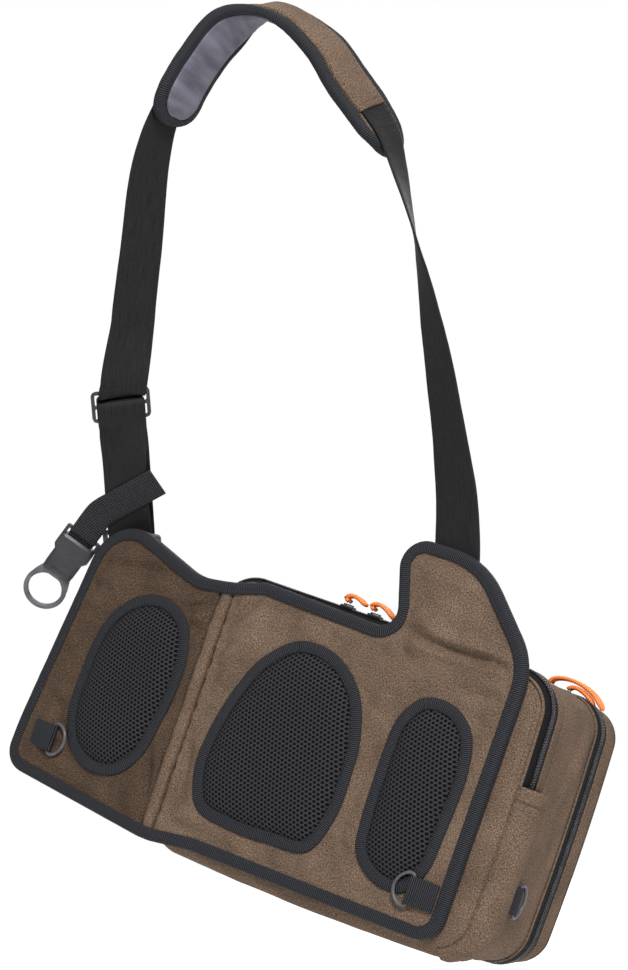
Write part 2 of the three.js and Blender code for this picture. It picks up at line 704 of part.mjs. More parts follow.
function routeFrame(length) {
  const i = Math.min(fineCount - 1, Math.max(0, fineRoute.findIndex((f) => f.length > length) - 1));
  const from = fineRoute[length >= ROUTE_END ? fineCount - 1 : i];
  const to = fineRoute[length >= ROUTE_END ? fineCount : i + 1];
  const share = (length - from.length) / (to.length - from.length);
  const before = fineRoute[Math.max(0, i - FINE / 2)].p;
  const after = fineRoute[Math.min(fineCount, i + 1 + FINE / 2)].p;
  const along = after.clone().sub(before).normalize();
  const leaning = from.w.clone().lerp(to.w, share);
  const w = leaning.addScaledVector(along, -leaning.dot(along)).normalize();
  return { length, p: from.p.clone().lerp(to.p, share), w, out: v().crossVectors(w, along) };
}

const spread = (from, to, step) => {
  const count = Math.ceil((to - from) / step);
  return Array.from({ length: count + 1 }, (_, i) => lerp(from, to, i / count));
};

// Every layer over the shoulder turns at the same steps and is straight between them
const padFrom = CROWN_AT - SHOULDER_RIGHT;
const padTo = CROWN_AT + SHOULDER_LEFT;
const routeSteps = [
  ...spread(0, padFrom, STRAP_STEP),
  ...spread(padFrom, CROWN_AT, PAD_STEP).slice(1),
  ...spread(CROWN_AT, padTo, PAD_STEP).slice(1),
  ...spread(padTo, ROUTE_END, STRAP_STEP).slice(1),
].map(routeFrame);
function station(length) {
  const next = routeSteps.findIndex((s) => s.length > length);
  const i = next < 0 ? routeSteps.length - 2 : Math.max(0, next - 1);
  const [from, to] = [routeSteps[i], routeSteps[i + 1]];
  const share = (length - from.length) / (to.length - from.length);
  return {
    p: from.p.clone().lerp(to.p, share),
    w: from.w.clone().lerp(to.w, share),
    out: from.out.clone().lerp(to.out, share),
  };
}
function lengthsBetween(from, to) {
  const inside = routeSteps.map((s) => s.length).filter((length) => length > from + 1 && length < to - 1);
  return [from, ...inside, to];
}

// A point beside the route: across it by one distance and out from the wearer by another
function beside(length, out, across) {
  const s = station(length);
  return s.p.addScaledVector(s.w, across).addScaledVector(s.out, out);
}

// Half the pad's width at a place, with its outline drawn in by a distance
function padHalf(length, drawn) {
  const radius = SHOULDER_CORNER - drawn;
  const end = Math.max(0, Math.min(length - padFrom, padTo - length) - drawn);
  return SHOULDER_WIDTH / 2 - drawn - rounding(end, radius);
}

function padLengths(drawn) {
  const from = padFrom + drawn;
  const to = padTo - drawn;
  const nose = [0, 0.05, 0.2, 0.5].map((share) => share * (SHOULDER_CORNER - drawn));
  const ends = [...nose.map((d) => from + d), ...nose.map((d) => to - d)];
  const inside = lengthsBetween(from, to).filter((length) => ends.every((end) => Math.abs(end - length) > 1));
  return [...ends, ...inside].sort((a, b) => a - b);
}

const sleeveHalf = SHOULDER_WIDTH / 2 - SHOULDER_EDGE - GAP;
function padLayer(drawn, low, high) {
  const rows = padLengths(drawn).map((length) => {
    const half = padHalf(length, drawn);
    const inner = Math.min(half, sleeveHalf);
    const columns = [-half, ...(drawn < SHOULDER_EDGE ? [-inner, 0, inner] : [0]), half];
    const skin = (out) => columns.map((across) => beside(length, out, across));
    return [...skin(low), ...skin(high).reverse()];
  });
  return loft(rows, 'strip');
}
add(sling, 'shoulder_pad', padLayer(sewnEdge, padBase, padTop), brownCloth);
const lining = padLayer(SHOULDER_EDGE + 2 * GAP, liningTop - SHOULDER_LINING, liningTop);
add(sling, 'shoulder_lining', lining, slateLining);

const padEdge = padLengths(0);
const padOutline = [
  ...padEdge.map((length) => new THREE.Vector2(length, -padHalf(length, 0))),
  ...padEdge.map((length) => new THREE.Vector2(length, padHalf(length, 0))).reverse(),
];
const padChannel = channel(SHOULDER_EDGE, BINDING_THICK, padBase, padTop);
add(sling, 'shoulder_binding', edging(padOutline, padChannel, beside), blackWebbing);

const sleeveFoot = padTop + GAP;
const sleeveRoof = STRAP_THICK / 2 + GAP;
const sleeveRows = lengthsBetween(CROWN_AT - SLEEVE_RIGHT, CROWN_AT + SLEEVE_LEFT).map((length) => {
  const skin = (drawn) => [
    beside(length, sleeveFoot, drawn - sleeveHalf),
    beside(length, sleeveRoof + SLEEVE_THICK - drawn, drawn - SLEEVE_WIDTH / 2),
    beside(length, sleeveRoof + SLEEVE_THICK - drawn, 0),
    beside(length, sleeveRoof + SLEEVE_THICK - drawn, SLEEVE_WIDTH / 2 - drawn),
    beside(length, sleeveFoot, sleeveHalf - drawn),
  ];
  return [...skin(0), ...skin(SLEEVE_THICK).reverse()];
});
add(sling, 'shoulder_sleeve', loft(sleeveRows, 'strip'), brownCloth);

const rightStations = lengthsBetween(0, CROWN_AT - GAP).map(station);
add(sling, 'right_strap', band(rightStations, STRAP_WIDTH, STRAP_THICK), blackWebbing);

// Below the slider the strap runs straight to the ring and turns on its way, level across at both
const loopX = WING_X - WING_REACH * LOOP_PLACE;
const loopZ = WING_TOP - LOOP_DROP;
const onWing = (x, y, z) => fromBag(...bend(x, y, z).toArray());
const LOOP_AT = onWing(loopX, PANEL_THICK + LOOP_STAND_OFF, loopZ);
const lower = LOOP_AT.distanceTo(SLIDER_AT);
const up = SLIDER_AT.clone().sub(LOOP_AT).normalize();
const barTop = SLIDER_HEIGHT / 2;
function strapFrame(down) {
  const share = THREE.MathUtils.smoothstep(down, barTop, TWIST_END);
  const turn = lerp(SLIDER_TURN, LOOP_TURN, share);
  const level = v(Math.cos(turn), Math.sin(turn), 0);
  const across = level.addScaledVector(up, -level.dot(up)).normalize();
  const origin = SLIDER_AT.clone().addScaledVector(up, -down);
  return new THREE.Matrix4().makeBasis(across, up, v().crossVectors(across, up)).setPosition(origin);
}
const onStrap = (down, rise, side = 0) => ({
  p: v(side, 0, rise).applyMatrix4(strapFrame(down)),
  w: v(1, 0, 0).transformDirection(strapFrame(down)),
});

// A turn of webbing round a bar, from one angle to another, seen along the bar
const wrap = (down, radius, from, to) => spread(0, 1, 0.17).map((share) => {
  const angle = lerp(from, to, share) * DEG;
  return [down + radius * Math.cos(angle), radius * Math.sin(angle)];
});
const halfStrap = STRAP_THICK / 2;
const sliderWrap = Math.hypot(SLIDER_BAR, SLIDER_THICK) / 2 + GAP + halfStrap;
const loopWrap = Math.hypot(LOOP_BAR, SLIDER_THICK) / 2 + GAP + halfStrap;
const overBar = SLIDER_THICK / 2 + GAP + halfStrap;
const behindWrap = -(sliderWrap + STRAP_THICK + GAP);
const slotTop = barTop - SLIDER_BAR;
const slotMiddle = (slotTop + sliderWrap + halfStrap) / 2;
const lowerRun = [
  [-barTop - 12, overBar, SLIDER_SIDE * 4],
  [-barTop, overBar, SLIDER_SIDE * 2],
  [-slotTop, overBar, SLIDER_SIDE],
  [-slotTop + 1.8, overBar * 0.75, SLIDER_SIDE],
  [-slotMiddle, 0, SLIDER_SIDE],
  [-slotMiddle + 0.6, behindWrap * 0.48],
  [-slotMiddle + 3.4, behindWrap * 0.9],
  [0, behindWrap],
  [barTop, behindWrap],
  [lerp(barTop, TWIST_END, 0.5), behindWrap],
  [TWIST_END, behindWrap],
  [lower - 16, -loopWrap - 0.5],
  ...wrap(lower, loopWrap, -90, 90),
  [lower - 16, loopWrap],
  [TWIST_END, overBar + 0.3],
  [lerp(barTop, TWIST_END, 0.5), overBar],
  [barTop + 4, overBar],
  [slotTop - 1, overBar],
  ...wrap(0, sliderWrap, 90, 270),
  [slotTop - 2, -sliderWrap + 0.3],
];
const lastUpper = ROUTE_END - 4;
const leftStations = [
  ...lengthsBetween(CROWN_AT + GAP, lastUpper).map(station),
  ...lowerRun.map(([down, rise, side]) => onStrap(down, rise, side)),
];
add(sling, 'left_strap', band(leftStations, STRAP_WIDTH, STRAP_THICK), blackWebbing);

// A rectangular frame with open slots, lying in the strap's plane
const box = (x0, z0, x1, z1, r = 0) => roundCorners([
  { x: x0, z: z0, r }, { x: x1, z: z0, r }, { x: x1, z: z1, r }, { x: x0, z: z1, r }], 45 * DEG);
function slotted(outer, holes, thick) {
  const shape = new THREE.Shape(outer);
  shape.holes = holes.map((hole) => new THREE.Path(hole));
  const geometry = new THREE.ExtrudeGeometry(shape, { depth: thick, bevelEnabled: false });
  return geometry.translate(0, 0, -thick / 2);
}
const sliderOuter = box(-SLIDER_WIDTH / 2, -barTop, SLIDER_WIDTH / 2, barTop, 4);
const sliderIn = SLIDER_WIDTH / 2 - SLIDER_BAR;
const sliderSlots = [
  box(-sliderIn, SLIDER_BAR / 2, sliderIn, slotTop),
  box(-sliderIn, -slotTop, sliderIn, -SLIDER_BAR / 2),
];
const slider = slotted(sliderOuter, sliderSlots, SLIDER_THICK).applyMatrix4(strapFrame(0));
add(sling, 'strap_slider', slider, darkPlastic);

const loopLow = LOOP_BAR / 2 - LOOP_HEIGHT;
const loopHigh = LOOP_BAR / 2;
const loopOuter = box(-LOOP_WIDTH / 2, loopLow, LOOP_WIDTH / 2, loopHigh, 3);
const loopIn = LOOP_WIDTH / 2 - LOOP_BAR;
const loopHole = box(-loopIn, loopLow + LOOP_BAR, loopIn, loopHigh - LOOP_BAR);
const loopRing = slotted(loopOuter, [loopHole], SLIDER_THICK).applyMatrix4(strapFrame(lower));
add(sling, 'loop_ring', loopRing, greyPlastic);

// The ring's tab: webbing round its lower bar, both ends sewn to the back of the wing
const loopFoot = lower + LOOP_HEIGHT - LOOP_BAR;
const nearLayer = PANEL_THICK + BINDING_THICK + 6 * GAP + halfStrap;
const farLayer = nearLayer + STRAP_THICK + GAP;
const alongWing = onWing(loopX + 1, 0, loopZ).sub(onWing(loopX, 0, loopZ)).normalize();
const onBack = (y, drop) => ({ p: onWing(loopX + drop * LOOP_TAB_SLANT, y, loopZ - drop), w: alongWing });
const loopTab = [
  onBack(nearLayer, LOOP_TAB_LENGTH),
  onBack(nearLayer, LOOP_TAB_LENGTH * 0.65),
  ...wrap(loopFoot, loopWrap + GAP, 155, 335).map(([down, rise]) => onStrap(down, rise)),
  onBack(farLayer, LOOP_TAB_LENGTH * 0.65),
  onBack(farLayer, LOOP_TAB_LENGTH),
];
add(sling, 'loop_tab', band(loopTab, STRAP_WIDTH - 2, STRAP_THICK), blackWebbing);

// Buckle webbing crosses the strap's front, sewn to it up to a bend. X runs along it from its free end, Z
// to the front. The buckle's own frame starts at the bend and leans forward
const webRise = loopWrap + halfStrap + 2 * GAP + BUCKLE_WEB_THICK / 2;
const webFrame = new THREE.Group();
webFrame.applyMatrix4(strapFrame(WEB_END_DOWN));
webFrame.translateX(WEB_END_SIDE).translateZ(webRise);
webFrame.rotateZ(Math.PI + WEB_SLANT);
sling.add(webFrame);
const buckleFrame = new THREE.Group();
buckleFrame.position.x = WEB_SEWN;
buckleFrame.rotation.set(0, -BUCKLE_LEAN, BUCKLE_DROOP);
buckleFrame.updateMatrix();
webFrame.add(buckleFrame);
const webWrap = Math.hypot(BUCKLE_BAR, BUCKLE_BAR) / 2 + GAP + BUCKLE_WEB_THICK / 2;
const underLayer = -BUCKLE_WEB_THICK - GAP;
const webFree = [
  [2, 0],
  ...wrap(BUCKLE_WEB_FREE, webWrap, 90, -90).map(([x, z]) => [x, z - webWrap]),
  [BUCKLE_WEB_FREE - 9, underLayer * 1.3],
  [BUCKLE_WEB_FREE - 13, underLayer * 1.2],
].map(([x, z]) => v(x, 0, z).applyMatrix4(buckleFrame.matrix));
const webTurned = v(0, 1, 0).transformDirection(buckleFrame.matrix);
const webStations = [
  { p: v(0, 0, 0), w: v(0, 1, 0) },
  { p: v(WEB_SEWN - 5, 0, 0), w: v(0, 1, 0) },
  ...webFree.map((p) => ({ p, w: webTurned })),
];
add(webFrame, 'buckle_webbing', band(webStations, BUCKLE_WEB_WIDTH, BUCKLE_WEB_THICK), blackWebbing);

// The buckle: a bar frame for the webbing and a socket for the stem of the accessory ring
const halfBuckle = BUCKLE_WIDTH / 2;
const waist = halfBuckle * 0.72;
const frameIn = BUCKLE_WEB_WIDTH / 2 + 1.5;
const frameEnd = webWrap + BUCKLE_WEB_THICK + 2;
const barOuter = box(-BUCKLE_BAR / 2, -halfBuckle, frameEnd + 3, halfBuckle, 2);
const barFrame = slotted(barOuter, [box(BUCKLE_BAR / 2, -frameIn, frameEnd, frameIn)], BUCKLE_BAR);
const socketSide = [
  { x: frameEnd, z: halfBuckle, r: 4 },
  { x: BUCKLE_LENGTH * 0.45, z: halfBuckle, r: 2 },
  { x: BUCKLE_LENGTH * 0.6, z: waist, r: 4 },
  { x: BUCKLE_LENGTH * 0.85, z: waist, r: 4 },
  { x: BUCKLE_LENGTH, z: halfBuckle * 0.9, r: 3 },
];
const otherSide = [...socketSide].reverse().map((c) => ({ ...c, z: -c.z }));
const flat = (x, n, z) => v(x, z, n);
const halfThick = BUCKLE_THICK / 2;
const socket = plate(roundCorners([...socketSide, ...otherSide], 45 * DEG), -halfThick, halfThick, 2, flat);
const block = (x0, x1, width, thick) => (
  new THREE.BoxGeometry(x1 - x0, width, thick).translate((x0 + x1) / 2, 0, 0)
);
const mouthStart = BUCKLE_LENGTH - STEM_DEPTH - GAP;
const mouth = block(mouthStart, BUCKLE_LENGTH + 1, STEM_WIDTH + 2 * GAP, STEM_THICK + 2 * GAP);
const merged = (geometry) => {
  geometry.deleteAttribute('normal');
  geometry.deleteAttribute('uv');
  return toManifold(mergeVertices(geometry, 1e-4));
};
const atBar = (geometry) => geometry.translate(BUCKLE_WEB_FREE, 0, -webWrap);
const buckle = merged(socket).add(merged(barFrame)).subtract(merged(mouth));
add(buckleFrame, 'buckle_socket', atBar(fromManifold(buckle)), darkPlastic);

const ringX = BUCKLE_LENGTH + ACCESSORY_RADIUS - 1;
const circle = (radius) => Array.from({ length: ACCESSORY_SIDES }, (_, i) => {
  const angle = i / ACCESSORY_SIDES * 2 * Math.PI;
  return new THREE.Vector2(ringX + radius * Math.cos(angle), radius * Math.sin(angle));
});
const disc = (radius, thick) => merged(slotted(circle(radius), [], thick));
const neck = merged(block(BUCKLE_LENGTH + GAP, BUCKLE_LENGTH + 7, STEM_WIDTH, STEM_THICK));
const stem = merged(block(BUCKLE_LENGTH - STEM_DEPTH, BUCKLE_LENGTH + 3, STEM_WIDTH, STEM_THICK));
const bore = disc(ACCESSORY_RADIUS - ACCESSORY_BAR, STEM_THICK * 2);
const accessory = disc(ACCESSORY_RADIUS, STEM_THICK).add(neck).add(stem).subtract(bore);
add(buckleFrame, 'accessory_ring', atBar(fromManifold(accessory)), greyPlastic);

// D-rings: each hangs in a tab of webbing. A seat's X runs from the seam to the ring, Y stands off the cloth
const ringRise = GAP + PAD_BINDING_THICK + GAP + RING_WIRE / 2;
function ringPoints() {
  const radius = (RING_WIDTH - RING_WIRE) / 2;
  const reach = RING_REACH - RING_WIRE / 2;
  const round = (angle) => v(reach * Math.cos(angle * DEG), 0, radius * Math.sin(angle * DEG));
  const arc = spread(-70, 70, 20).map(round);
  const corner = (side) => [v(radius * 0.1, 0, side * radius * 0.93), v(0, 0, side * radius * 0.85)];
  return [...arc, ...corner(1), v(0, 0, 0), ...corner(-1).reverse()];
}
function ringSeat(name, origin, along, out, length) {
  const seat = new THREE.Group();
  const turned = new THREE.Matrix4().makeBasis(along, out, v().crossVectors(along, out));
  seat.applyMatrix4(turned.setPosition(origin));
  bag.add(seat);
  const half = TAB_THICK / 2;
  const turn = RING_WIRE / 2 + GAP + half;
  const lowLayer = GAP + half;
  const highLayer = lowLayer + TAB_THICK + GAP;
  const run = [
    [0, lowLayer],
    [length * 0.45, lowLayer],
    ...spread(-90, 90, 30).map((angle) => (
      [length + turn * Math.cos(angle * DEG), ringRise + turn * Math.sin(angle * DEG)]
    )),
    [Math.min(length * 0.5, length - TAB_TAPER), highLayer + 0.8],
    [0, highLayer],
  ];
  const stations = run.map(([x, y]) => ({ p: v(x, y, 0), w: v(0, 0, 1) }));
  add(seat, `ring_tab_${name}`, band(stations, TAB_WIDTH, TAB_THICK), blackWebbing);
  add(seat, `d_ring_${name}`, wireLoop(ringPoints(), RING_WIRE / 2, v(0, 1, 0)), greyPlastic);
  seat.children[1].position.set(length, ringRise, 0);
}
const wingSeam = FOLD_X - WING_REACH + BINDING_WIDTH + 11;
const wingAlong = v(Math.cos(WING_BEND), -Math.sin(WING_BEND), 0);
const wingOut = v(-Math.sin(WING_BEND), -Math.cos(WING_BEND), 0);
ringSeat('left', bend(wingSeam, 0, LEFT_RING_Z), wingAlong, wingOut, LEFT_TAB_LENGTH);
const panelSeam = PANEL_RIGHT - BINDING_WIDTH - 2 * GAP;
ringSeat('right', v(panelSeam, 0, RIGHT_RING_Z), v(-1, 0, 0), v(0, -1, 0), RIGHT_TAB_LENGTH);
const sideY = REAR_MOUTH + SIDE_TAB_INSET;
const sideSeat = onRing(wallRing(sideY, GAP), wallStep(SIDE_RING_Z, sideY));
ringSeat('side', sideSeat, v(0, 1, 0), v(1, 0, 0), SIDE_TAB_LENGTH);

// Zip sliders on the top wall, and their cord pulls
const topStep = (x, y) => {
  const { half, corner } = wallFrame(y, 0);
  return SIDE_STEPS + CORNER_STEPS + LONG_STEPS * (half - corner - x) / (2 * (half - corner));
};
const rearZipMiddle = (REAR_ZIP_LOW + REAR_ZIP_HIGH) / 2;
const mainZipMiddle = (zipLow + zipHigh) / 2;
const onRear = GAP + ZIP_THICK;
const zipSliders = [
  { name: 'rear_left', x: -44, y: rearZipMiddle, rise: onRear },
  { name: 'rear_right', x: -18, y: rearZipMiddle, rise: onRear },
  { name: 'main_left', x: 98, y: mainZipMiddle, rise: 0 },
  { name: 'main_right', x: 113, y: mainZipMiddle, rise: 0 },
];
const halfLength = ZIP_SLIDER_LENGTH / 2;
const halfWidth = ZIP_SLIDER_WIDTH / 2;
const sliderOutline = box(-halfLength, -halfWidth, halfLength, halfWidth, 2.5);
for (const slider of zipSliders) {
  const seat = onRing(wallRing(slider.y, slider.rise), topStep(slider.x, slider.y));
  const body = plate(sliderOutline, 2 * GAP, ZIP_SLIDER_HEIGHT, 1, flat).translate(seat.x, seat.y, seat.z);
  add(bag, `zip_slider_${slider.name}`, body, darkPlastic);
}

// Cord pulls in the bag's own frame. Each leaves its slider, arches over and comes back beside itself
const PULLS = [
  {
    name: 'rear_left', y: 21, apart: 5.5, tip: [-28.5, 125.6],
    route: [[-44, 123.9], [-47.5, 126.5], [-43, 129.3], [-36, 128.5], [-30.5, 126]],
  },
  {
    name: 'rear_right', y: 21, apart: 5.5, tip: [0, 121.5],
    route: [[-20, 123.9], [-23, 127], [-18, 129.5], [-10, 127.5], [-3, 123.5]],
  },
  {
    name: 'main_left', y: 134.8, apart: 6.5, tip: [149, 107.5],
    route: [[98, 114.6], [99, 118], [107, 121.5], [122, 121.8], [137, 117.3], [146.5, 110.5]],
  },
  {
    name: 'main_right', y: 134.8, apart: 5, tip: [141, 107.5],
    route: [[115, 114.6], [119, 117.3], [127, 116.4], [136, 112.3]],
  },
];
const cordSection = new THREE.Shape(Array.from({ length: 8 }, (_, i) => {
  const angle = i * Math.PI / 4;
  return new THREE.Vector2(CORD / 2 * Math.cos(angle), CORD / 2 * Math.sin(angle));
}));
for (const pull of PULLS) {
  const strand = (y) => pull.route.map(([x, z]) => v(x, y, z));
  const tip = v(pull.tip[0], pull.y, pull.tip[1]);
  const points = [...strand(pull.y - pull.apart / 2), tip, ...strand(pull.y + pull.apart / 2).reverse()];
  const path = new THREE.CatmullRomCurve3(points);
  const steps = Math.round(path.getLength() / (CORD * 2));
  const tube = new THREE.ExtrudeGeometry(cordSection, { steps, bevelEnabled: false, extrudePath: path });
  add(bag, `pull_${pull.name}`, tube, orangeCord);
}

export default sling;
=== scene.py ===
# Fishing tackle sling bag: the looks of its cloth, webbing, mesh, zips and plastic parts.
# Sizes are in millimetres up to the moment a mesh is made. The bag, its wing and the strap each have
# the same frame here as in the part's source.
from math import cos, exp, hypot, pi, radians, sin, sqrt

import bmesh
import bpy
import numpy as np
from mathutils import Matrix, Vector, noise
from mathutils.bvhtree import BVHTree


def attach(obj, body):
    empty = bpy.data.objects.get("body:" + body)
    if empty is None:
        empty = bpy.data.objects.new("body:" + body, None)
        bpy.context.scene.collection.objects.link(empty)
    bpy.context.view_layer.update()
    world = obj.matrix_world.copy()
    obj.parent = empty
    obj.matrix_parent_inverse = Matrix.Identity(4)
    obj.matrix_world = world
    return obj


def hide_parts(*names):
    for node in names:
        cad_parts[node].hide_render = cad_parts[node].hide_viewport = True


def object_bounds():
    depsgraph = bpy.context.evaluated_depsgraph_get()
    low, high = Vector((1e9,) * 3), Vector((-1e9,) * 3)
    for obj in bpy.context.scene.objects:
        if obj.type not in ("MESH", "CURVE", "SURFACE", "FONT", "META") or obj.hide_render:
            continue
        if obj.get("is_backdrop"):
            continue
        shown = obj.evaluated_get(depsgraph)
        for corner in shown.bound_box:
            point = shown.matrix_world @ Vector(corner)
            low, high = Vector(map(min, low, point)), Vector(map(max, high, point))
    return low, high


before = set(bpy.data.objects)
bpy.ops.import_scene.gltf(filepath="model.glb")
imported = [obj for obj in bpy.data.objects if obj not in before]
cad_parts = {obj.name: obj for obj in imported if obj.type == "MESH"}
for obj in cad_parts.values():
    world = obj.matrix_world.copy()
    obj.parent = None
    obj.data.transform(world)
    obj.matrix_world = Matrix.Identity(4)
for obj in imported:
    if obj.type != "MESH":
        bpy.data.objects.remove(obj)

cad_low, cad_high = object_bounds()
scene = bpy.context.scene
MM = 0.001

# Camera: level, a little to the bag's right, with the long lens of a product photograph
CAMERA_AT = (1.1331, -2.1826, -0.3828)
CAMERA_TURN = 26.7
LENS = 111.34


def set_camera():
    data = bpy.data.cameras.new("camera")
    data.lens = LENS
    data.clip_end = 30
    camera = bpy.data.objects.new("camera", data)
    camera.location = CAMERA_AT
    camera.rotation_euler = (radians(90), 0, radians(CAMERA_TURN))
    scene.collection.objects.link(camera)
    scene.camera = camera


set_camera()

# Frames: the bag hangs pitched and rolled, and its left wing bends back about the fold
BAG = (
    Matrix.Translation((69.7, -31, -602.8))
    @ Matrix.Rotation(radians(-11), 4, "X")
    @ Matrix.Rotation(radians(15.7), 4, "Y")
)
ROW = Matrix.Identity(4)
GAP = 0.3
FOLD_X = -139
FOLD_WIDTH = 12
WING_X = FOLD_X - FOLD_WIDTH
WING_BEND = radians(9)
WING = BAG @ Matrix.Translation((WING_X, 0, 0)) @ Matrix.Rotation(-WING_BEND, 4, "Z")


def lerp(a, b, share):
    return a + (b - a) * share


def smoothstep(x, low, high):
    share = min(1, max(0, (x - low) / (high - low)))
    return share * share * (3 - 2 * share)


def bend(x, y, z):
    """A point of the flat panel and wing, with the wing bent back about the fold."""
    if x >= FOLD_X:
        return Vector((x, y, z))
    radius = FOLD_WIDTH / WING_BEND
    angle = WING_BEND * min(1, (FOLD_X - x) / FOLD_WIDTH)
    past = max(0, WING_X - x)
    along = radius * sin(angle) + past * cos(angle)
    back = radius * (1 - cos(angle)) + past * sin(angle)
    return Vector((FOLD_X - along + y * sin(angle), back + y * cos(angle), z))


def on_cloth(x, y, z):
    return BAG @ bend(x, y, z)


def smooth_line(rows, step):
    """Rows of numbers whose first three are a point, taken evenly along a smooth line through them."""
    given = np.array(rows, float)
    ends = np.vstack([2 * given[0] - given[1], given, 2 * given[-1] - given[-2]])
    fine = []
    for i in range(1, len(ends) - 2):
        p = ends[i - 1 : i + 3]
        t = [0.0]
        for k in range(3):
            t.append(t[-1] + max(1e-6, np.linalg.norm(p[k + 1][:3] - p[k][:3])) ** 0.5)
        for u in np.linspace(t[1], t[2], 12, endpoint=False):
            a = [((t[k + 1] - u) * p[k] + (u - t[k]) * p[k + 1]) / (t[k + 1] - t[k]) for k in range(3)]
            b = [((t[k + 2] - u) * a[k] + (u - t[k]) * a[k + 1]) / (t[k + 2] - t[k]) for k in range(2)]
            fine.append(((t[2] - u) * b[0] + (u - t[1]) * b[1]) / (t[2] - t[1]))
    fine.append(given[-1])
    return evenly(np.array(fine), step)


def evenly(line, step):
    """The rows of a line taken again at an even step."""
    lengths = np.concatenate([[0], np.cumsum(np.linalg.norm(np.diff(line[:, :3], axis=0), axis=1))])
    count = max(2, int(round(lengths[-1] / step)) + 1)
    at = np.linspace(0, lengths[-1], count)
    return np.column_stack([np.interp(at, lengths, line[:, k]) for k in range(line.shape[1])])


# Materials
def linear(colour):
    """A hex colour as the linear values that a socket takes."""
    channels = [int(colour[i : i + 2], 16) / 255 for i in (1, 3, 5)]
    return [c / 12.92 if c <= 0.04045 else ((c + 0.055) / 1.055) ** 2.4 for c in channels] + [1]


def node(tree, kind, links, out=0, stops=(), **settings):
    """Adds a node and gives back one of its outputs. A link is another node's output or a plain value."""
    made = tree.nodes.new(f"ShaderNode{kind}")
    for name, value in settings.items():
        setattr(made, name, value)
    for name, value in links.items():
        if isinstance(value, bpy.types.NodeSocket):
            tree.links.new(value, made.inputs[name])
        else:
            made.inputs[name].default_value = value
    if stops:
        elements = made.color_ramp.elements
        while len(elements) < len(stops):
            elements.new(0.5)
        for element, (position, colour) in zip(elements, stops):
            element.position = position
            element.color = linear(colour)
    return made.outputs[out]


def new_finish(name, **constants):
    material = bpy.data.materials.new(name)
    material.use_nodes = True
    tree = material.node_tree
    surface = tree.nodes["Principled BSDF"]
    for socket, value in constants.items():
        surface.inputs[socket.replace("_", " ")].default_value = value
    return material, tree, surface


def thread_space(tree, scale=(1, 1), turn=0.0):
    """The piece's own cloth coordinates in millimetres, stretched or turned."""
    stretch = (1000 * scale[0], 1000 * scale[1], 1000)
    threads = node(tree, "UVMap", {}, uv_map="threads")
    return node(tree, "Mapping", {"Vector": threads, "Rotation": (0, 0, radians(turn)), "Scale": stretch})


def rib_scale(period):
    """The wave texture's scale for ribs of one period in millimetres."""
    return 2 * pi / (20 * period)


def woven(tree, space, pick, end):
    """Ribs of two periods in millimetres that cross, high where they meet."""
    picks, ends = (
        node(tree, "TexWave", {"Vector": space, "Scale": rib_scale(period)}, "Fac", bands_direction=way)
        for way, period in (("X", pick), ("Y", end))
    )
    return node(tree, "Math", {0: picks, 1: ends}, operation="MULTIPLY")


def tinted(tree, colour, factor, low, high):
    """A colour made lighter or darker between two shares of itself."""
    share = node(tree, "MapRange", {"Value": factor, "To Min": low, "To Max": high})
    return node(tree, "VectorMath", {0: colour, "Scale": share}, operation="SCALE")


def surfaced(tree, surface, colour, roughness, *heights):
    """Joins the colour, a factor with its two roughnesses, and bumps of (height, millimetres, strength)."""
    factor, smooth, rough = roughness
    normal = None
    for height, millimetres, strength in heights:
        links = {"Height": height, "Distance": millimetres * MM, "Strength": strength}
        if normal:
            links["Normal"] = normal
        normal = node(tree, "Bump", links)
    spread = node(tree, "MapRange", {"Value": factor, "To Min": smooth, "To Max": rough})
    for socket, value in (("Base Color", colour), ("Roughness", spread), ("Normal", normal)):
        tree.links.new(value, surface.inputs[socket])


def heathered_polyester(name, dark, middle, light):
    """Plain-woven polyester of mixed brown yarns: a mottled, slightly furry brown with short light slubs."""
    material, tree, surface = new_finish(name, Sheen_Weight=0.01, Sheen_Roughness=0.5, Specular_IOR_Level=0.05)
    plain = thread_space(tree)
    weft, warp = (
        node(tree, "TexNoise", {"Vector": thread_space(tree, stretch), "Scale": 1.15, "Detail": 3})
        for stretch in ((0.6, 1.2), (1.2, 0.6))
    )
    both = node(tree, "Math", {0: weft, 1: warp}, operation="ADD")
    yarns = node(tree, "Math", {0: both, 1: 0.5}, operation="MULTIPLY")
    # The threads are 0.5 mm apart, drawn at 1.2 mm so that they show
    weave = woven(tree, plain, 1.2, 1.2)
    blotches = node(tree, "TexNoise", {"Vector": plain, "Scale": 0.024, "Detail": 4})
    swells = node(tree, "TexNoise", {"Vector": plain, "Scale": 0.045})
    colour = node(tree, "ValToRGB", {"Fac": yarns}, stops=[(0.4, dark), (0.5, middle), (0.61, light)])
    # The weave tint darkens the cloth between the thread crossings and lightens it on them: painted shade and painted
    # highlight of the weave.
    colour = tinted(tree, tinted(tree, colour, weave, 0.9, 1.05), blotches, 0.5, 1.4)
    bumps = (swells, 5.0, 0.8), (yarns, 0.5, 0.8), (weave, 0.25, 0.6)
    surfaced(tree, surface, colour, (yarns, 0.82, 0.98), *bumps)
    return material


def grosgrain(name, dark, light, rib=1.6):
    """Ribbed polyester tape: fine cross ribs that catch the light one by one."""
    material, tree, surface = new_finish(name, Sheen_Weight=0.01, Specular_IOR_Level=0.12)
    plain = thread_space(tree)
    ribs = node(tree, "TexWave", {"Vector": plain, "Scale": rib_scale(rib)}, "Fac")
    fibres = node(tree, "TexNoise", {"Vector": plain, "Scale": 1.6, "Detail": 3})
    puckers = node(tree, "TexNoise", {"Vector": plain, "Scale": 0.12})
    # The ribs' colour runs from dark in their hollows to light on their crests: painted shade and painted highlight.
    colour = node(tree, "ValToRGB", {"Fac": ribs}, stops=[(0.1, dark), (0.95, light)])
    colour = tinted(tree, colour, fibres, 0.7, 1.3)
    surfaced(tree, surface, colour, (fibres, 0.6, 0.85), (puckers, 0.8, 0.5), (ribs, 0.45, 0.9))
    return material


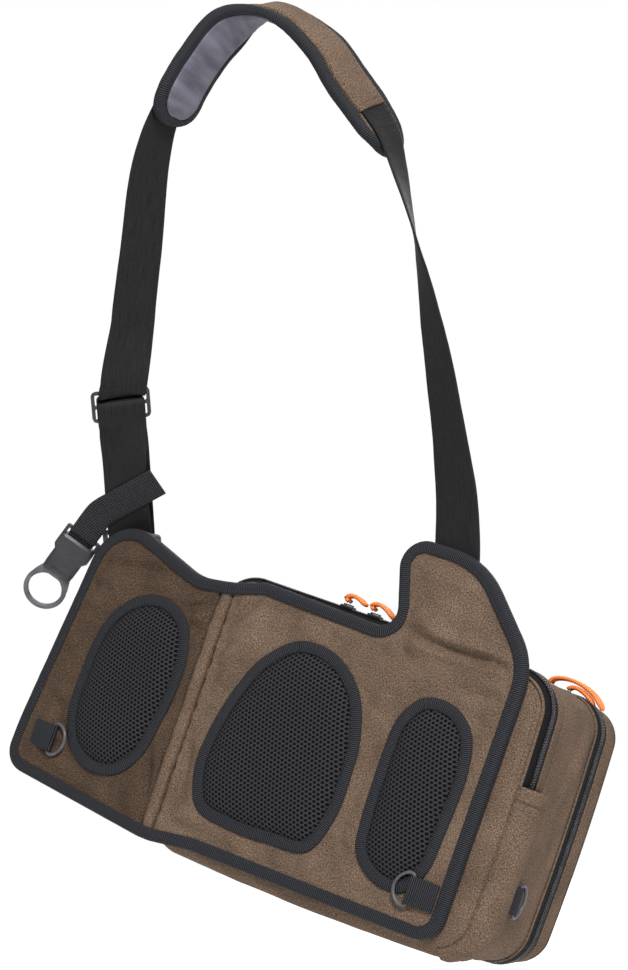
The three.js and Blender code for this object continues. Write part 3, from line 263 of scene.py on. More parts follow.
def strap_webbing(name, dark, light):
    """Smooth polyester strap webbing: a tight twill with faint lines along it and a soft lustre."""
    material, tree, surface = new_finish(name, Sheen_Weight=0.01, Specular_IOR_Level=0.12)
    twill = woven(tree, thread_space(tree), 1.3, 1.9)
    streaks = node(tree, "TexNoise", {"Vector": thread_space(tree, (0.05, 1.2)), "Scale": 1.0})
    ripples = node(tree, "TexNoise", {"Vector": thread_space(tree, (0.12, 0.03)), "Scale": 1.0})
    colour = node(tree, "ValToRGB", {"Fac": streaks}, stops=[(0.3, dark), (0.75, light)])
    # The twill's crossings are painted lighter and the hollows between them darker: painted highlight and painted
    # shade.
    colour = tinted(tree, colour, twill, 0.82, 1.12)
    surfaced(tree, surface, colour, (streaks, 0.5, 0.72), (ripples, 0.8, 0.5), (twill, 0.25, 0.6))
    return material


def coarse_webbing(name, dark, light):
    """Coarse basket-woven webbing: rows of raised yarn knots, painted light, with painted shade in the gaps between
    them.
    """
    material, tree, surface = new_finish(name, Sheen_Weight=0.01, Specular_IOR_Level=0.2)
    plain = thread_space(tree)
    knots = woven(tree, plain, 2.1, 1.7)
    fibres = node(tree, "TexNoise", {"Vector": plain, "Scale": 1.2})
    puckers = node(tree, "TexNoise", {"Vector": plain, "Scale": 0.08})
    # The knots are painted light and the gaps between them near black: painted highlight and painted shade.
    colour = node(tree, "ValToRGB", {"Fac": knots}, stops=[(0.12, dark), (0.7, light)])
    colour = tinted(tree, colour, fibres, 0.8, 1.2)
    surfaced(tree, surface, colour, (knots, 0.75, 0.5), (puckers, 0.8, 0.4), (knots, 0.6, 0.9))
    return material


def spacer_mesh(name, hole, rim, thread):
    """Knitted air mesh: staggered rows of small oval holes between soft black ribs."""
    pitch_across, pitch_down, slant = 6.6, 3.8, -17
    hole_shape = (4.2, 2.9, 0)
    material, tree, surface = new_finish(name, Sheen_Weight=0.01, Specular_IOR_Level=0.12)
    space = thread_space(tree, turn=slant)
    rows = []
    for shift in (0.0, 0.5):
        repeat = {0: space, 1: (1 / pitch_across, 1 / pitch_down, 0), 2: (shift, shift, 0)}
        cell = node(tree, "VectorMath", repeat, operation="MULTIPLY_ADD")
        part = node(tree, "VectorMath", {0: cell}, operation="FRACTION")
        centred = node(tree, "VectorMath", {0: part, 1: (0.5, 0.5, 0)}, operation="SUBTRACT")
        oval = node(tree, "VectorMath", {0: centred, 1: hole_shape}, operation="MULTIPLY")
        rows.append(node(tree, "VectorMath", {0: oval}, "Value", operation="LENGTH"))
    nearest = node(tree, "Math", dict(enumerate(rows)), operation="MINIMUM")
    ground = node(tree, "MapRange", {"Value": nearest, "From Min": 0.55, "From Max": 1.15})
    fibres = node(tree, "TexNoise", {"Vector": thread_space(tree), "Scale": 0.5, "Detail": 3})
    # The holes are painted near black and their rims dark: painted shade inside the holes.
    colour = node(tree, "ValToRGB", {"Fac": ground}, stops=[(0.0, hole), (0.5, rim), (1.0, thread)])
    colour = tinted(tree, colour, fibres, 0.8, 1.2)
    surfaced(tree, surface, colour, (ground, 0.95, 0.75), (ground, 0.9, 0.9))
    return material


def lining_twill(name, dark, light):
    """Thin slate polyester lining: smooth, a little glossy, with soft cross puckers."""
    material, tree, surface = new_finish(name, Sheen_Weight=0.08, Specular_IOR_Level=0.2)
    plain = thread_space(tree)
    fibres = node(tree, "TexNoise", {"Vector": plain, "Scale": 1.4, "Detail": 3})
    shades, puckers = (
        node(tree, "TexNoise", {"Vector": thread_space(tree, stretch), "Scale": 1.0, "Detail": 3})
        for stretch in ((0.09, 0.02), (0.11, 0.025))
    )
    ribs = node(tree, "TexWave", {"Vector": plain, "Scale": rib_scale(1.0)}, "Fac")
    colour = node(tree, "ValToRGB", {"Fac": shades}, stops=[(0.3, dark), (0.7, light)])
    colour = tinted(tree, colour, fibres, 0.9, 1.1)
    surfaced(tree, surface, colour, (fibres, 0.55, 0.75), (puckers, 1.6, 0.7), (ribs, 0.15, 0.4))
    return material


def moulded_plastic(name, dark, light, grain=0.5, roughness=0.42):
    """Moulded plastic: a satin skin with a fine spark-eroded grain."""
    material, tree, surface = new_finish(name, IOR=1.48)
    place = node(tree, "TexCoord", {}, "Object")
    millimetres = node(tree, "Mapping", {"Vector": place, "Scale": (1000, 1000, 1000)})
    grains = node(tree, "TexNoise", {"Vector": millimetres, "Scale": 1 / grain, "Detail": 3})
    shades = node(tree, "TexNoise", {"Vector": millimetres, "Scale": 0.08, "Detail": 3})
    colour = node(tree, "ValToRGB", {"Fac": shades}, stops=[(0.3, dark), (0.7, light)])
    colour = tinted(tree, colour, grains, 0.88, 1.12)
    surfaced(tree, surface, colour, (grains, roughness - 0.08, roughness + 0.12), (grains, 0.12, 0.5))
    return material


def braided_cord(name, dark, middle, light):
    """Bright braided cord under a clear sleeve: crossing strands and a wet-looking highlight."""
    material, tree, surface = new_finish(name, Coat_Weight=0.3, Coat_Roughness=0.25, Specular_IOR_Level=0.4)
    lays = [
        node(tree, "TexWave", {"Vector": thread_space(tree, turn=turn), "Scale": rib_scale(1.5)}, "Fac")
        for turn in (38, -38)
    ]
    strands = node(tree, "Math", dict(enumerate(lays)), operation="MAXIMUM")
    # The strands' colour runs from dark between them to light on their crests: painted shade and painted highlight.
    colour = node(tree, "ValToRGB", {"Fac": strands}, stops=[(0.25, dark), (0.6, middle), (1.0, light)])
    surfaced(tree, surface, colour, (strands, 0.65, 0.4), (strands, 0.35, 0.8))
    return material


BROWN = heathered_polyester("heathered polyester brown", "#3e3126", "#5b4b3f", "#7c6a5b")
DARK_BROWN = heathered_polyester("heathered polyester dark brown", "#2b2119", "#45382d", "#625144")
TAPE = grosgrain("grosgrain tape black", "#050506", "#323338")
STRAP = strap_webbing("polyester strap webbing black", "#121213", "#212123")
COARSE = coarse_webbing("basket webbing black", "#0a0a0b", "#3d3c41")
MESH = spacer_mesh("spacer mesh black", "#010101", "#0d0d0e", "#2c2c30")
LINING = lining_twill("lining twill slate", "#403e49", "#64616e")
ACETAL = moulded_plastic("acetal slate black", "#121215", "#232227")
GREY_ACETAL = moulded_plastic("acetal grey", "#39393d", "#5c5c61", grain=0.9, roughness=0.55)
WIRE = moulded_plastic("acetal ring grey", "#2e2e33", "#48484d", roughness=0.36)
ZIP_TAPE = grosgrain("zip tape black", "#060607", "#19191b", rib=1.1)
COIL = moulded_plastic("nylon zip coil black", "#18181b", "#3a3a3f", roughness=0.3)
THREAD = moulded_plastic("sewing thread black", "#0b0b0d", "#1d1d20", roughness=0.6)
BROWN_THREAD = moulded_plastic("sewing thread brown", "#33281f", "#52443a", roughness=0.7)
CORD = braided_cord("braided cord orange", "#8f2f06", "#d95a10", "#f58a38")


# Making pieces
def piece(name, bm, material, body="bag", replaces=(), crease=None):
    mesh = bpy.data.meshes.new(name)
    bm.to_mesh(mesh)
    bm.free()
    mesh.materials.append(material)
    mesh.polygons.foreach_set("use_smooth", [True] * len(mesh.polygons))
    if crease:
        mesh.set_sharp_from_angle(angle=radians(crease))
    obj = bpy.data.objects.new(name, mesh)
    scene.collection.objects.link(obj)
    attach(obj, body)
    if replaces:
        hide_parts(*replaces)
    return obj


def threads_along(obj, place):
    """Lays the weave straight in a frame: each face takes the two axes that it lies along."""
    mesh = obj.data
    layer = mesh.uv_layers.get("threads") or mesh.uv_layers.new(name="threads")
    inverse = np.array(place.inverted())
    points = np.empty(len(mesh.vertices) * 3)
    mesh.vertices.foreach_get("co", points)
    points = points.reshape(-1, 3) / MM @ inverse[:3, :3].T + inverse[:3, 3]
    normals = np.empty(len(mesh.polygons) * 3)
    mesh.polygons.foreach_get("normal", normals)
    normals = np.abs(normals.reshape(-1, 3) @ inverse[:3, :3].T)
    totals = np.empty(len(mesh.polygons), int)
    mesh.polygons.foreach_get("loop_total", totals)
    corners = np.empty(len(mesh.loops), int)
    mesh.loops.foreach_get("vertex_index", corners)
    facing = np.repeat(normals.argmax(axis=1), totals)
    axes = np.array([(1, 2), (0, 2), (0, 1)])[facing]
    at = points[corners]
    flat = np.take_along_axis(at, axes, axis=1) * MM
    layer.data.foreach_set("uv", flat.ravel().astype(np.float32))
    return obj


def laid(name, rows, material, body="bag", replaces=(), capped=False, thick=0.0, outward=True):
    """A sheet through rows of points, or a tube where the last column meets the first. UVs are metres."""
    grid = np.array([[tuple(p) for p in row] for row in rows], float)
    count, columns = grid.shape[:2]
    along = np.linalg.norm(np.diff(grid, axis=0), axis=2).mean(axis=1)
    across = np.linalg.norm(np.diff(grid, axis=1), axis=2).mean(axis=0)
    along = np.concatenate([[0], np.cumsum(along)]) * MM
    across = np.concatenate([[0], np.cumsum(across)]) * MM
    points = grid.reshape(-1, 3) * MM
    bm = bmesh.new()
    threads = bm.loops.layers.uv.new("threads")
    bmesh.ops.create_grid(bm, x_segments=columns - 1, y_segments=count - 1, size=0.5)
    bm.verts.index_update()
    for vert in bm.verts:
        vert.co = points[vert.index]
    for face in bm.faces:
        for corner in face.loops:
            row, column = divmod(corner.vert.index, columns)
            corner[threads].uv = (along[row], across[column])
    bmesh.ops.remove_doubles(bm, verts=bm.verts, dist=1e-6)
    if capped:
        bmesh.ops.holes_fill(bm, edges=[e for e in bm.edges if e.is_boundary])
    bmesh.ops.recalc_face_normals(bm, faces=bm.faces)
    if not outward:
        bmesh.ops.reverse_faces(bm, faces=bm.faces)
    obj = piece(name, bm, material, body, replaces)
    if thick:
        wall = obj.modifiers.new("wall", "SOLIDIFY")
        wall.thickness = thick * MM
        wall.offset = -1
        wall.use_even_offset = True
    return obj


def seeds(name, spots, size, material, body="bag"):
    """Small rounded bars, one for each place, such as stitches or the turns of a zip coil."""
    bm = bmesh.new()
    for place in spots:
        shape = place.copy()
        shape.translation = shape.translation * MM
        shape = shape @ Matrix.Diagonal((size[0] * MM, size[1] * MM, size[2] * MM, 1))
        bmesh.ops.create_icosphere(bm, subdivisions=1, radius=0.5, matrix=shape)
    return piece(name, bm, material, body)


def heading(points, i):
    """The way along a line at one of its points."""
    return (Vector(points[min(i + 1, len(points) - 1)]) - Vector(points[max(i - 1, 0)])).normalized()


def frame_at(point, along, out):
    """A frame whose X runs along and whose Z stands out."""
    x = Vector(along).normalized()
    z = Vector(out)
    z = (z - x * z.dot(x)).normalized()
    y = z.cross(x)
    made = Matrix((x, y, z)).transposed().to_4x4()
    made.translation = point
    return made


def stitched(name, line, outs, pitch, material=THREAD, slot="black_webbing", body="bag", length=2.6, width=0.75):
    """A row of lockstitches along a line, each half sunk in the cloth. The ways out may be one for all."""
    line = np.array(line, float)
    rows = evenly(np.hstack([line, np.broadcast_to(np.array(outs, float), line.shape)]), pitch)
    spots = []
    for i in range(len(rows) - 1):
        here, there = Vector(rows[i][:3]), Vector(rows[i + 1][:3])
        spots.append(frame_at((here + there) / 2, there - here, rows[i][3:]))
    return seeds(name, spots, (length, width, width), material, body)


def dressed(name, source, material, body="bag", bevel=0.0, segments=2, place=None):
    """A CAD node's own shape with its edges softened, and its weave laid in a frame."""
    bm = bmesh.new()
    bm.from_mesh(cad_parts[source].data)
    bmesh.ops.remove_doubles(bm, verts=bm.verts, dist=2e-6)
    bmesh.ops.dissolve_limit(bm, angle_limit=radians(4), verts=bm.verts, edges=bm.edges)
    if bevel:
        sharp = [e for e in bm.edges if len(e.link_faces) == 2 and e.calc_face_angle() > radians(32)]
        bmesh.ops.bevel(
            bm,
            geom=sharp,
            offset=bevel * MM,
            segments=segments,
            profile=0.5,
            affect="EDGES",
            material=-1,
            clamp_overlap=True,
        )
    bmesh.ops.triangulate(bm, faces=bm.faces)
    obj = piece(name, bm, material, body, [source], crease=38)
    if place:
        threads_along(obj, place)
    return obj


def ring_angles(sides):
    return [2 * pi * k / sides for k in range(sides + 1)]


def tube(line, radius, out, sides):
    """Rings of points round a line."""
    rows = []
    for i, p in enumerate(line):
        along = heading(line, i)
        side = along.cross(Vector(out)).normalized()
        up = side.cross(along)
        rows.append([Vector(p) + side * (radius * cos(a)) + up * (radius * sin(a)) for a in ring_angles(sides)])
    return rows


# Cord pulls, each through its zip slider, up and back beside itself
CORD_SIZE, CORD_STEP, PATH_STEP = 3.4, 2.2, 3.3
PULLS = [
    {"name": "rear_left", "y": 21, "apart": 5.5,
     "route": [(-44, 123.9), (-47.5, 126.5), (-43, 129.3), (-36, 128.5), (-30.5, 126)], "tip": (-28.5, 125.6)},
    {"name": "rear_right", "y": 21, "apart": 5.5,
     "route": [(-20, 123.9), (-23, 127), (-18, 129.5), (-10, 127.5), (-3, 123.5)], "tip": (0, 121.5)},
    {"name": "main_left", "y": 134.8, "apart": 6.5,
     "route": [(98, 114.6), (99, 118), (107, 121.5), (122, 121.8), (137, 117.3), (146.5, 110.5)],
     "tip": (149, 107.5)},
    {"name": "main_right", "y": 134.8, "apart": 5,
     "route": [(115, 114.6), (119, 117.3), (127, 116.4), (136, 112.3)], "tip": (141, 107.5)},
]


def zip_pull(pull):
    """A loop of cord, out beside its runner's bridge, round its tip and back."""
    near, far = (
        [(x, pull["y"] + side * pull["apart"] / 2, z) for x, z in pull["route"]] for side in (-1, 1)
    )
    tip = (pull["tip"][0], pull["y"], pull["tip"][1])
    line = smooth_line([BAG @ Vector(p) for p in [*near, tip, *reversed(far)]], CORD_STEP)
    rows = tube(line, CORD_SIZE / 2, BAG.to_3x3() @ Vector((0.1, 0.3, 1)), sides=14)
    name = f"pull_{pull['name']}"
    cord = laid(f"cord_{pull['name']}", rows, CORD, replaces=[name], capped=True)


for pull in PULLS:
    zip_pull(pull)


# Compartment walls: a rounded box that sags a little, as in the part's source --
BODY_WIDTH = 310
REAR_TOP, REAR_BOTTOM = 118, -117
FRONT_TOP, FRONT_BOTTOM = 107, -112
REAR_CORNER, FRONT_CORNER = 32, 26
REAR_ROUND, FRONT_ROUND = 16, 9
BODY_BACK = 9.6
REAR_MOUTH = BODY_BACK + 40
MAIN_MOUTH = REAR_MOUTH + 80
FRONT_MOUTH = MAIN_MOUTH + 10.5
BODY_FRONT = FRONT_MOUTH + 32
SIDE_STEPS, CORNER_STEPS, LONG_STEPS = 4, 5, 6
RING = 2 * SIDE_STEPS + 4 * CORNER_STEPS + 2 * LONG_STEPS
LEFT_WALL = SIDE_STEPS + 2 * CORNER_STEPS + LONG_STEPS
FINE = 6


def rounding(distance, radius):
    short = min(radius, max(0, radius - distance))
    return radius - sqrt(radius * radius - short * short)


def wall_frame(y, grow=0.0):
    """Half the width, the top, the bottom and the corner radius of the body at a depth."""
    share = (y - BODY_BACK) / (BODY_FRONT - BODY_BACK)
    give = grow - rounding(y - BODY_BACK, REAR_ROUND) - rounding(BODY_FRONT - y, FRONT_ROUND)
    half = BODY_WIDTH / 2 + give
    top = lerp(REAR_TOP, FRONT_TOP, share) + give
    bottom = lerp(REAR_BOTTOM, FRONT_BOTTOM, share) - give
    return half, top, bottom, max(4, lerp(REAR_CORNER, FRONT_CORNER, share) + give)


def wall(step, y, grow=0.0, drawn=1.0):
    """A point of the wall at a place on its ring and a depth; drawn shrinks the ring toward its middle."""
    half, top, bottom, corner = wall_frame(y, grow)
    step %= RING
    legs = [
        (SIDE_STEPS, (half, bottom + corner), (half, top - corner), None),
        (CORNER_STEPS, (half - corner, top - corner), 0, 1),
        (LONG_STEPS, (half - corner, top), (corner - half, top), None),
        (CORNER_STEPS, (corner - half, top - corner), pi / 2, 1),
        (SIDE_STEPS, (-half, top - corner), (-half, bottom + corner), None),
        (CORNER_STEPS, (corner - half, bottom + corner), pi, 1),
        (LONG_STEPS, (corner - half, bottom), (half - corner, bottom), None),
        (CORNER_STEPS, (half - corner, bottom + corner), pi * 1.5, 1),
    ]
    for steps, a, b, turning in legs:
        if step <= steps:
            break
        step -= steps
    share = step / steps
    if turning:
        angle = b + pi / 2 * share
        x, z = a[0] + corner * cos(angle), a[1] + corner * sin(angle)
    else:
        x, z = lerp(a[0], b[0], share), lerp(a[1], b[1], share)
    up = z / top if z > 0 else z / -bottom
    side = x / half
    x += 3 * side**3 * (1 - up * up)
    z += (-1 if z > 0 else 5) * up**3 * (1 - side * side)
    return BAG @ Vector((x * drawn, y, z * drawn))


def wall_step(z, y):
    """The ring's step at a height of the right wall; the next three are the same for the other walls."""
    _, top, bottom, corner = wall_frame(y)
    return SIDE_STEPS * (z - bottom - corner) / (top - bottom - 2 * corner)


def left_step(z, y):
    return LEFT_WALL + SIDE_STEPS - wall_step(z, y)


def top_step(x, y):
    half, _, _, corner = wall_frame(y)
    return SIDE_STEPS + CORNER_STEPS + LONG_STEPS * (half - corner - x) / (2 * (half - corner))


def bottom_step(x, y):
    half, _, _, corner = wall_frame(y)
    return LEFT_WALL + SIDE_STEPS + CORNER_STEPS + LONG_STEPS * (x + half - corner) / (2 * (half - corner))


def wrinkle(point, size, height):
    """An uneven swell of about one size and height, the same in each run."""
    return height * noise.fractal(Vector(point) / size, 0.9, 2.0, 3)


FACE_SHARES = (0.97, 0.8, 0.5, 0.2)


def shell(name, levels, source, face=None, waver=2.0, margin=4.0):
    """A compartment: rows of wall at (depth, growth) levels, puckered clear of its seams."""
    steps = [k / FINE for k in range(RING * FINE)]
    rows = []
    for y, grow in levels:
        clear = min(y - levels[0][0], levels[-1][0] - y) - margin
        free = smoothstep(clear, 0, 14)
        row = [wall(step, y, grow + free * wrinkle(wall(step, y, grow), 48, waver)) for step in steps]
        rows.append([*row, row[0]])
    if face is not None:
        y, grow = levels[face]
        inner = []
        for drawn in FACE_SHARES:
            row = [wall(step, y, grow, drawn) for step in steps]
            row = [p + BAG.to_3x3() @ Vector((0, wrinkle(p, 55, 1.6), 0)) for p in row]
            inner.append([*row, row[0]])
        rows = rows + inner if face == -1 else [*reversed(inner), *rows]
    threads_along(laid(name, rows, BROWN, replaces=[source], capped=True), BAG)


SEAM_ROLL = 2.4


def even_levels(low, high, step, roll_low, roll_high):
    """Depths from low to high whose two seam edges roll in."""
    count = max(2, round((high - low) / step))
    depths = [lerp(low, high, k / count) for k in range(count + 1)]
    for edge, rolled, sign in ((low, roll_low, 1), (high, roll_high, -1)):
        if rolled:
            depths += [edge + sign * d for d in (0.25, 0.8, 1.6, 2.6)]
    levels = []
    for y in sorted(set(round(d, 3) for d in depths)):
        drop_low = roll_low * rounding(y - low, SEAM_ROLL) / SEAM_ROLL
        drop_high = roll_high * rounding(high - y, SEAM_ROLL) / SEAM_ROLL
        levels.append((y, -drop_low - drop_high))
    return levels


rear_levels = even_levels(BODY_BACK, REAR_MOUTH - 0.1, 3.2, 0, 2.0)
rear_levels = [(BODY_BACK + d, 0) for d in (0.02, 0.3, 0.9, 1.8)] + rear_levels[1:]
shell("rear_section", sorted(rear_levels), "rear_compartment", face=0, waver=0.8)
main_levels = even_levels(REAR_MOUTH + 0.2, MAIN_MOUTH + 0.2, 4, 2.0, 1.4)
shell("main_section", main_levels, "main_compartment", waver=3.4, margin=13)
front_levels = even_levels(FRONT_MOUTH - 0.2, BODY_FRONT, 3, 1.4, 0)
front_levels = front_levels[:-1] + [(BODY_FRONT - d, 0) for d in (1.6, 0.8, 0.3, 0.02)]
shell("front_section", sorted(front_levels), "front_compartment", face=-1, margin=6)


STRIP_COLUMNS = 9


def wall_strip(name, low, high, start, end, rise, material, sources, thick, bulge):
    """A band along the wall between two depths, a little domed across."""
    count = max(2, round(abs(end - start) * FINE))
    shares = [c / (STRIP_COLUMNS - 1) for c in range(STRIP_COLUMNS)]
    rows = []
    for k in range(count + 1):
        step = lerp(start, end, k / count)
        rows.append([wall(step, lerp(low, high, share), rise + bulge * sin(pi * share)) for share in shares])
    laid(name, rows, material, replaces=sources, thick=thick)


def wall_line(start, end, y, rise):
    """Places along the wall at one depth, with the way out of the wall at each."""
    count = max(3, round(abs(end - start) * FINE * 2))
    points, outs = [], []
    for k in range(count + 1):
        step = lerp(start, end, k / count)
        here = wall(step, y, rise)
        points.append(here)
        outs.append((wall(step, y, rise + 1) - here).normalized())
    return points, outs


def zip_teeth(name, start, end, y, rise, pitch=2.2):
    """The two rows of a nylon coil, each turn a short bar slanting to the middle."""
    points, outs = wall_line(start, end, y, rise)
    rows = evenly(np.hstack([np.array(points), np.array(outs)]), pitch)
    spots = []
    depth = BAG.to_3x3() @ Vector((0, 1, 0))
    for i in range(len(rows) - 1):
        here = Vector(rows[i][:3])
        along = (Vector(rows[i + 1][:3]) - here).normalized()
        for side in (-1, 1):
            slant = (depth * side + along * 0.5).normalized()
            shift = depth * (side * 1.9) + along * (pitch / 2 if side > 0 else 0)
            spots.append(frame_at(here + shift, slant, rows[i][3:]))
    return seeds(name, spots, (4.8, 1.35, 2.2), COIL)


LIP_BREADTH = 1.4


def lip(name, start, end, y, rise, radius, material=BROWN):
    """The turned edge of the cloth beside a zip."""
    points, outs = wall_line(start, end, y, rise)
    rows = []
    for i, p in enumerate(points):
        out = outs[i]
        side = heading(points, i).cross(out).normalized()
        wide, high = radius * LIP_BREADTH, radius
        rows.append([p + side * (wide * cos(a)) + out * (high * sin(a)) for a in ring_angles(10)])
    body = laid(name, rows, material, capped=True)
    return threads_along(body, BAG)


HINGE_HALF = 100
hinge_left, hinge_right = bottom_step(-HINGE_HALF, MAIN_MOUTH), bottom_step(HINGE_HALF, MAIN_MOUTH)
zip_low, zip_high = MAIN_MOUTH + GAP, FRONT_MOUTH - GAP
zip_middle = (zip_low + zip_high) / 2
ZIP_TAPE_BACK, ZIP_TAPE_FRONT = zip_low - 10.5, zip_high + 3.5
wall_strip("main_zip_tape", ZIP_TAPE_BACK, ZIP_TAPE_FRONT, hinge_right - RING, hinge_left, 0.9, ZIP_TAPE,
           ["main_zip"], 1.0, bulge=0.8)
zip_teeth("main_zip_coil", hinge_right - RING, hinge_left, (ZIP_TAPE_BACK + ZIP_TAPE_FRONT) / 2, 2.0)
wall_strip("hinge_cloth", zip_low - 1, zip_high + 1, hinge_left - 0.02, hinge_right + 0.02, -1.3, BROWN,
           ["lid_hinge"], 1.2, bulge=1.2)
for edge, name in ((ZIP_TAPE_BACK - 0.2, "main"), (ZIP_TAPE_FRONT + 0.2, "front")):
    lip(f"zip_lip_{name}", hinge_right - RING, hinge_left, edge, 0.9, radius=0.9)
    line = wall_line(0, RING, edge + (-2.8 if name == "main" else 2.8), 0.6)
    stitched(f"zip_stitch_{name}", *line, 3.6, BROWN_THREAD, "brown_cloth")

REAR_ZIP_LOW = BODY_BACK + 7
REAR_ZIP_HIGH = REAR_ZIP_LOW + 9
rear_zip_y = (REAR_ZIP_LOW + REAR_ZIP_HIGH) / 2
rear_from, rear_to = wall_step(29, REAR_ZIP_LOW), left_step(29, REAR_ZIP_LOW)
wall_strip("rear_zip_tape", REAR_ZIP_LOW - 3, REAR_ZIP_HIGH + 6, rear_from, rear_to, 1.5, ZIP_TAPE,
           ["rear_zip"], 1.0, bulge=0.6)
zip_teeth("rear_zip_coil", rear_from, rear_to, rear_zip_y, 2.4)
for edge, name in ((REAR_ZIP_LOW - 3.2, "inner"), (REAR_ZIP_HIGH + 6.4, "outer")):
    lip(f"rear_zip_lip_{name}", rear_from, rear_to, edge, 1.5, radius=1.3)
    line = wall_line(rear_from, rear_to, edge + (-2.6 if name == "inner" else 2.6), 0.9)
    stitched(f"rear_zip_stitch_{name}", *line, 3.6, BROWN_THREAD, "brown_cloth")

# Welts where the sections are sewn together and round the front face
for y, rise, name in ((REAR_MOUTH + 0.05, -1.3, "rear_welt"), (BODY_FRONT - 4.2, 0.35, "front_welt")):
    lip(name, 0, RING, y, rise, radius=0.8, material=DARK_BROWN)

# Side pocket, a little pouch with a turned and stitched hem
POCKET_HEM, POCKET_SWELL, POCKET_STAND, GATHER = 30, 10, GAP + 2, 3.2
POCKET_LOW, POCKET_HIGH = BODY_BACK + 2.5, REAR_MOUTH - GAP
pocket_hem, pocket_foot = wall_step(POCKET_HEM, POCKET_LOW), 1 - CORNER_STEPS


def pocket_point(step, share, rise):
    """A point of the pouch at a step of the wall's ring and a share of its depth, fullest at its middle."""
    drop = (pocket_hem - step) / (pocket_hem - pocket_foot)
    swell = POCKET_SWELL * (1 - 0.9 * drop * drop) * max(0, sin(pi * share)) ** 0.6
    y = lerp(POCKET_LOW, POCKET_HIGH, share)
    here = wall(step, y, POCKET_STAND + swell)
    pucker = wrinkle(here, 24, 1.6) * min(1, 6 * share, 6 * (1 - share)) * smoothstep(drop, 0.0, 0.3)
    # A fold where the pouch is gathered in at its lower corner
    fold = GATHER * exp(-(((share - 0.62 - 0.25 * (drop - 0.86)) / 0.12) ** 2)) * smoothstep(drop, 0.7, 0.84)
    return wall(step, y, POCKET_STAND + swell + pucker + rise - fold)


def side_pouch():
    steps, shares = np.linspace(pocket_foot, pocket_hem, 46), np.linspace(0, 1, 25)
    hem_steps = np.linspace(pocket_hem - 0.28, pocket_hem + 0.01, 5)
    # A strip of the darker brown along the pouch's outer edge is painted shadow where the pouch meets the wall.
    edge_shade_shares = (0.955, 0.968, 0.982, 0.995)
    for name, rows_at, columns_at, rise, material, slot, sources, thick in (
        ("side_pouch", steps, shares, 0, BROWN, "brown_cloth", ["side_pocket"], 1.6),
        ("side_pouch_hem", hem_steps, shares, 0.5, BROWN, "brown_cloth", [], 0.9),
        ("side_pouch_edge_shade", steps[3:-2], edge_shade_shares, 0.7, DARK_BROWN, "dark_brown_cloth", [], 0.9),
    ):
        rows = [[pocket_point(step, share, rise) for share in columns_at] for step in rows_at]
        threads_along(laid(name, rows, material, replaces=sources, thick=thick), BAG)
    line = [pocket_point(pocket_hem - 0.25, share, 0.6) for share in np.linspace(0.02, 0.98, 40)]
    out = BAG.to_3x3() @ Vector((1, 0, 0))
    stitched("side_pouch_stitch", line, out, 3.2, BROWN_THREAD, "brown_cloth")


side_pouch()


# Sewn outlines
def round_corners(corners, step=3.0):
    """A closed outline of (x, z, radius) corners, each rounded, taken evenly."""
    points = []
    count = len(corners)
    for i, (x, z, r) in enumerate(corners):
        here = Vector((x, z))
        back = Vector(corners[i - 1][:2]) - here
        on = Vector(corners[(i + 1) % count][:2]) - here
        half = back.angle(on) / 2
        turn = pi - 2 * half
        if not r or turn < radians(1):
            points.append(here)
            continue
        reach = min(r * cos(half) / sin(half), back.length * 0.49, on.length * 0.49)
        radius = reach * sin(half) / cos(half)
        middle = (back.normalized() + on.normalized()).normalized()
        centre = here + middle * (radius / sin(half))
        start = here + back.normalized() * reach - centre
        sign = 1 if back.x * on.y - back.y * on.x < 0 else -1
        steps = max(2, round(turn / radians(6)))
        for k in range(steps + 1):
            a = sign * turn * k / steps
            points.append(centre + Vector((start.x * cos(a) - start.y * sin(a), start.x * sin(a) + start.y * cos(a))))
    closed = np.array([(p.x, p.y, 0) for p in [*points, points[0]]])
    return evenly(closed, step)[:-1, :2]


def inset(outline, distance):
    """The outline moved inward."""
    area = 0.5 * np.sum(outline[:, 0] * np.roll(outline[:, 1], -1) - np.roll(outline[:, 0], -1) * outline[:, 1])
    along = np.roll(outline, -1, axis=0) - np.roll(outline, 1, axis=0)
    along /= np.linalg.norm(along, axis=1)[:, None]
    inward = np.column_stack([-along[:, 1], along[:, 0]]) * np.sign(area)
    return outline + inward * distance


PANEL_THICK = 8
WING_REACH, WING_TOP, WING_BOTTOM, WING_NECK = 175, 138, -101, 104
FOLD_TOP, FOLD_BOTTOM = 107, -115
PANEL_RIGHT, PANEL_TOP, PANEL_BOTTOM = 134, 113, -110
RIGHT_WING_TOP, RIGHT_WING_ROOT, RIGHT_WING_TIP = 190.5, 15, -11
FOLD_MIDDLE = FOLD_X - FOLD_WIDTH / 2
WING_CORNERS = [
    (WING_X, FOLD_TOP, 0),
    (WING_X - WING_REACH * 0.15, WING_NECK, 60),
    (FOLD_X - WING_REACH * 0.86, WING_TOP, 42),
    (FOLD_X - WING_REACH, lerp(WING_BOTTOM, WING_TOP, 0.17), 200),
    (FOLD_X - WING_REACH * 1.01, WING_BOTTOM, 26),
    (WING_X, FOLD_BOTTOM, 0),
]
PANEL_CORNERS = [
    (FOLD_X, FOLD_BOTTOM, 0),
    (FOLD_X * 0.72, PANEL_BOTTOM, 60),
    (PANEL_RIGHT, PANEL_BOTTOM, 22),
    (PANEL_RIGHT + 2, PANEL_TOP + 10, 60),
    (PANEL_RIGHT * 0.51, RIGHT_WING_TOP, 70),
    (RIGHT_WING_TIP, RIGHT_WING_TOP, 22),
    (RIGHT_WING_ROOT, PANEL_TOP, 14),
    (FOLD_X * 0.8, PANEL_TOP + 4, 12),
    (FOLD_X, FOLD_TOP + 2, 0),
]
whole_edge = round_corners(
    [(FOLD_MIDDLE, FOLD_TOP + 1, 0), *WING_CORNERS, (FOLD_MIDDLE, FOLD_BOTTOM, 0), *PANEL_CORNERS]
)


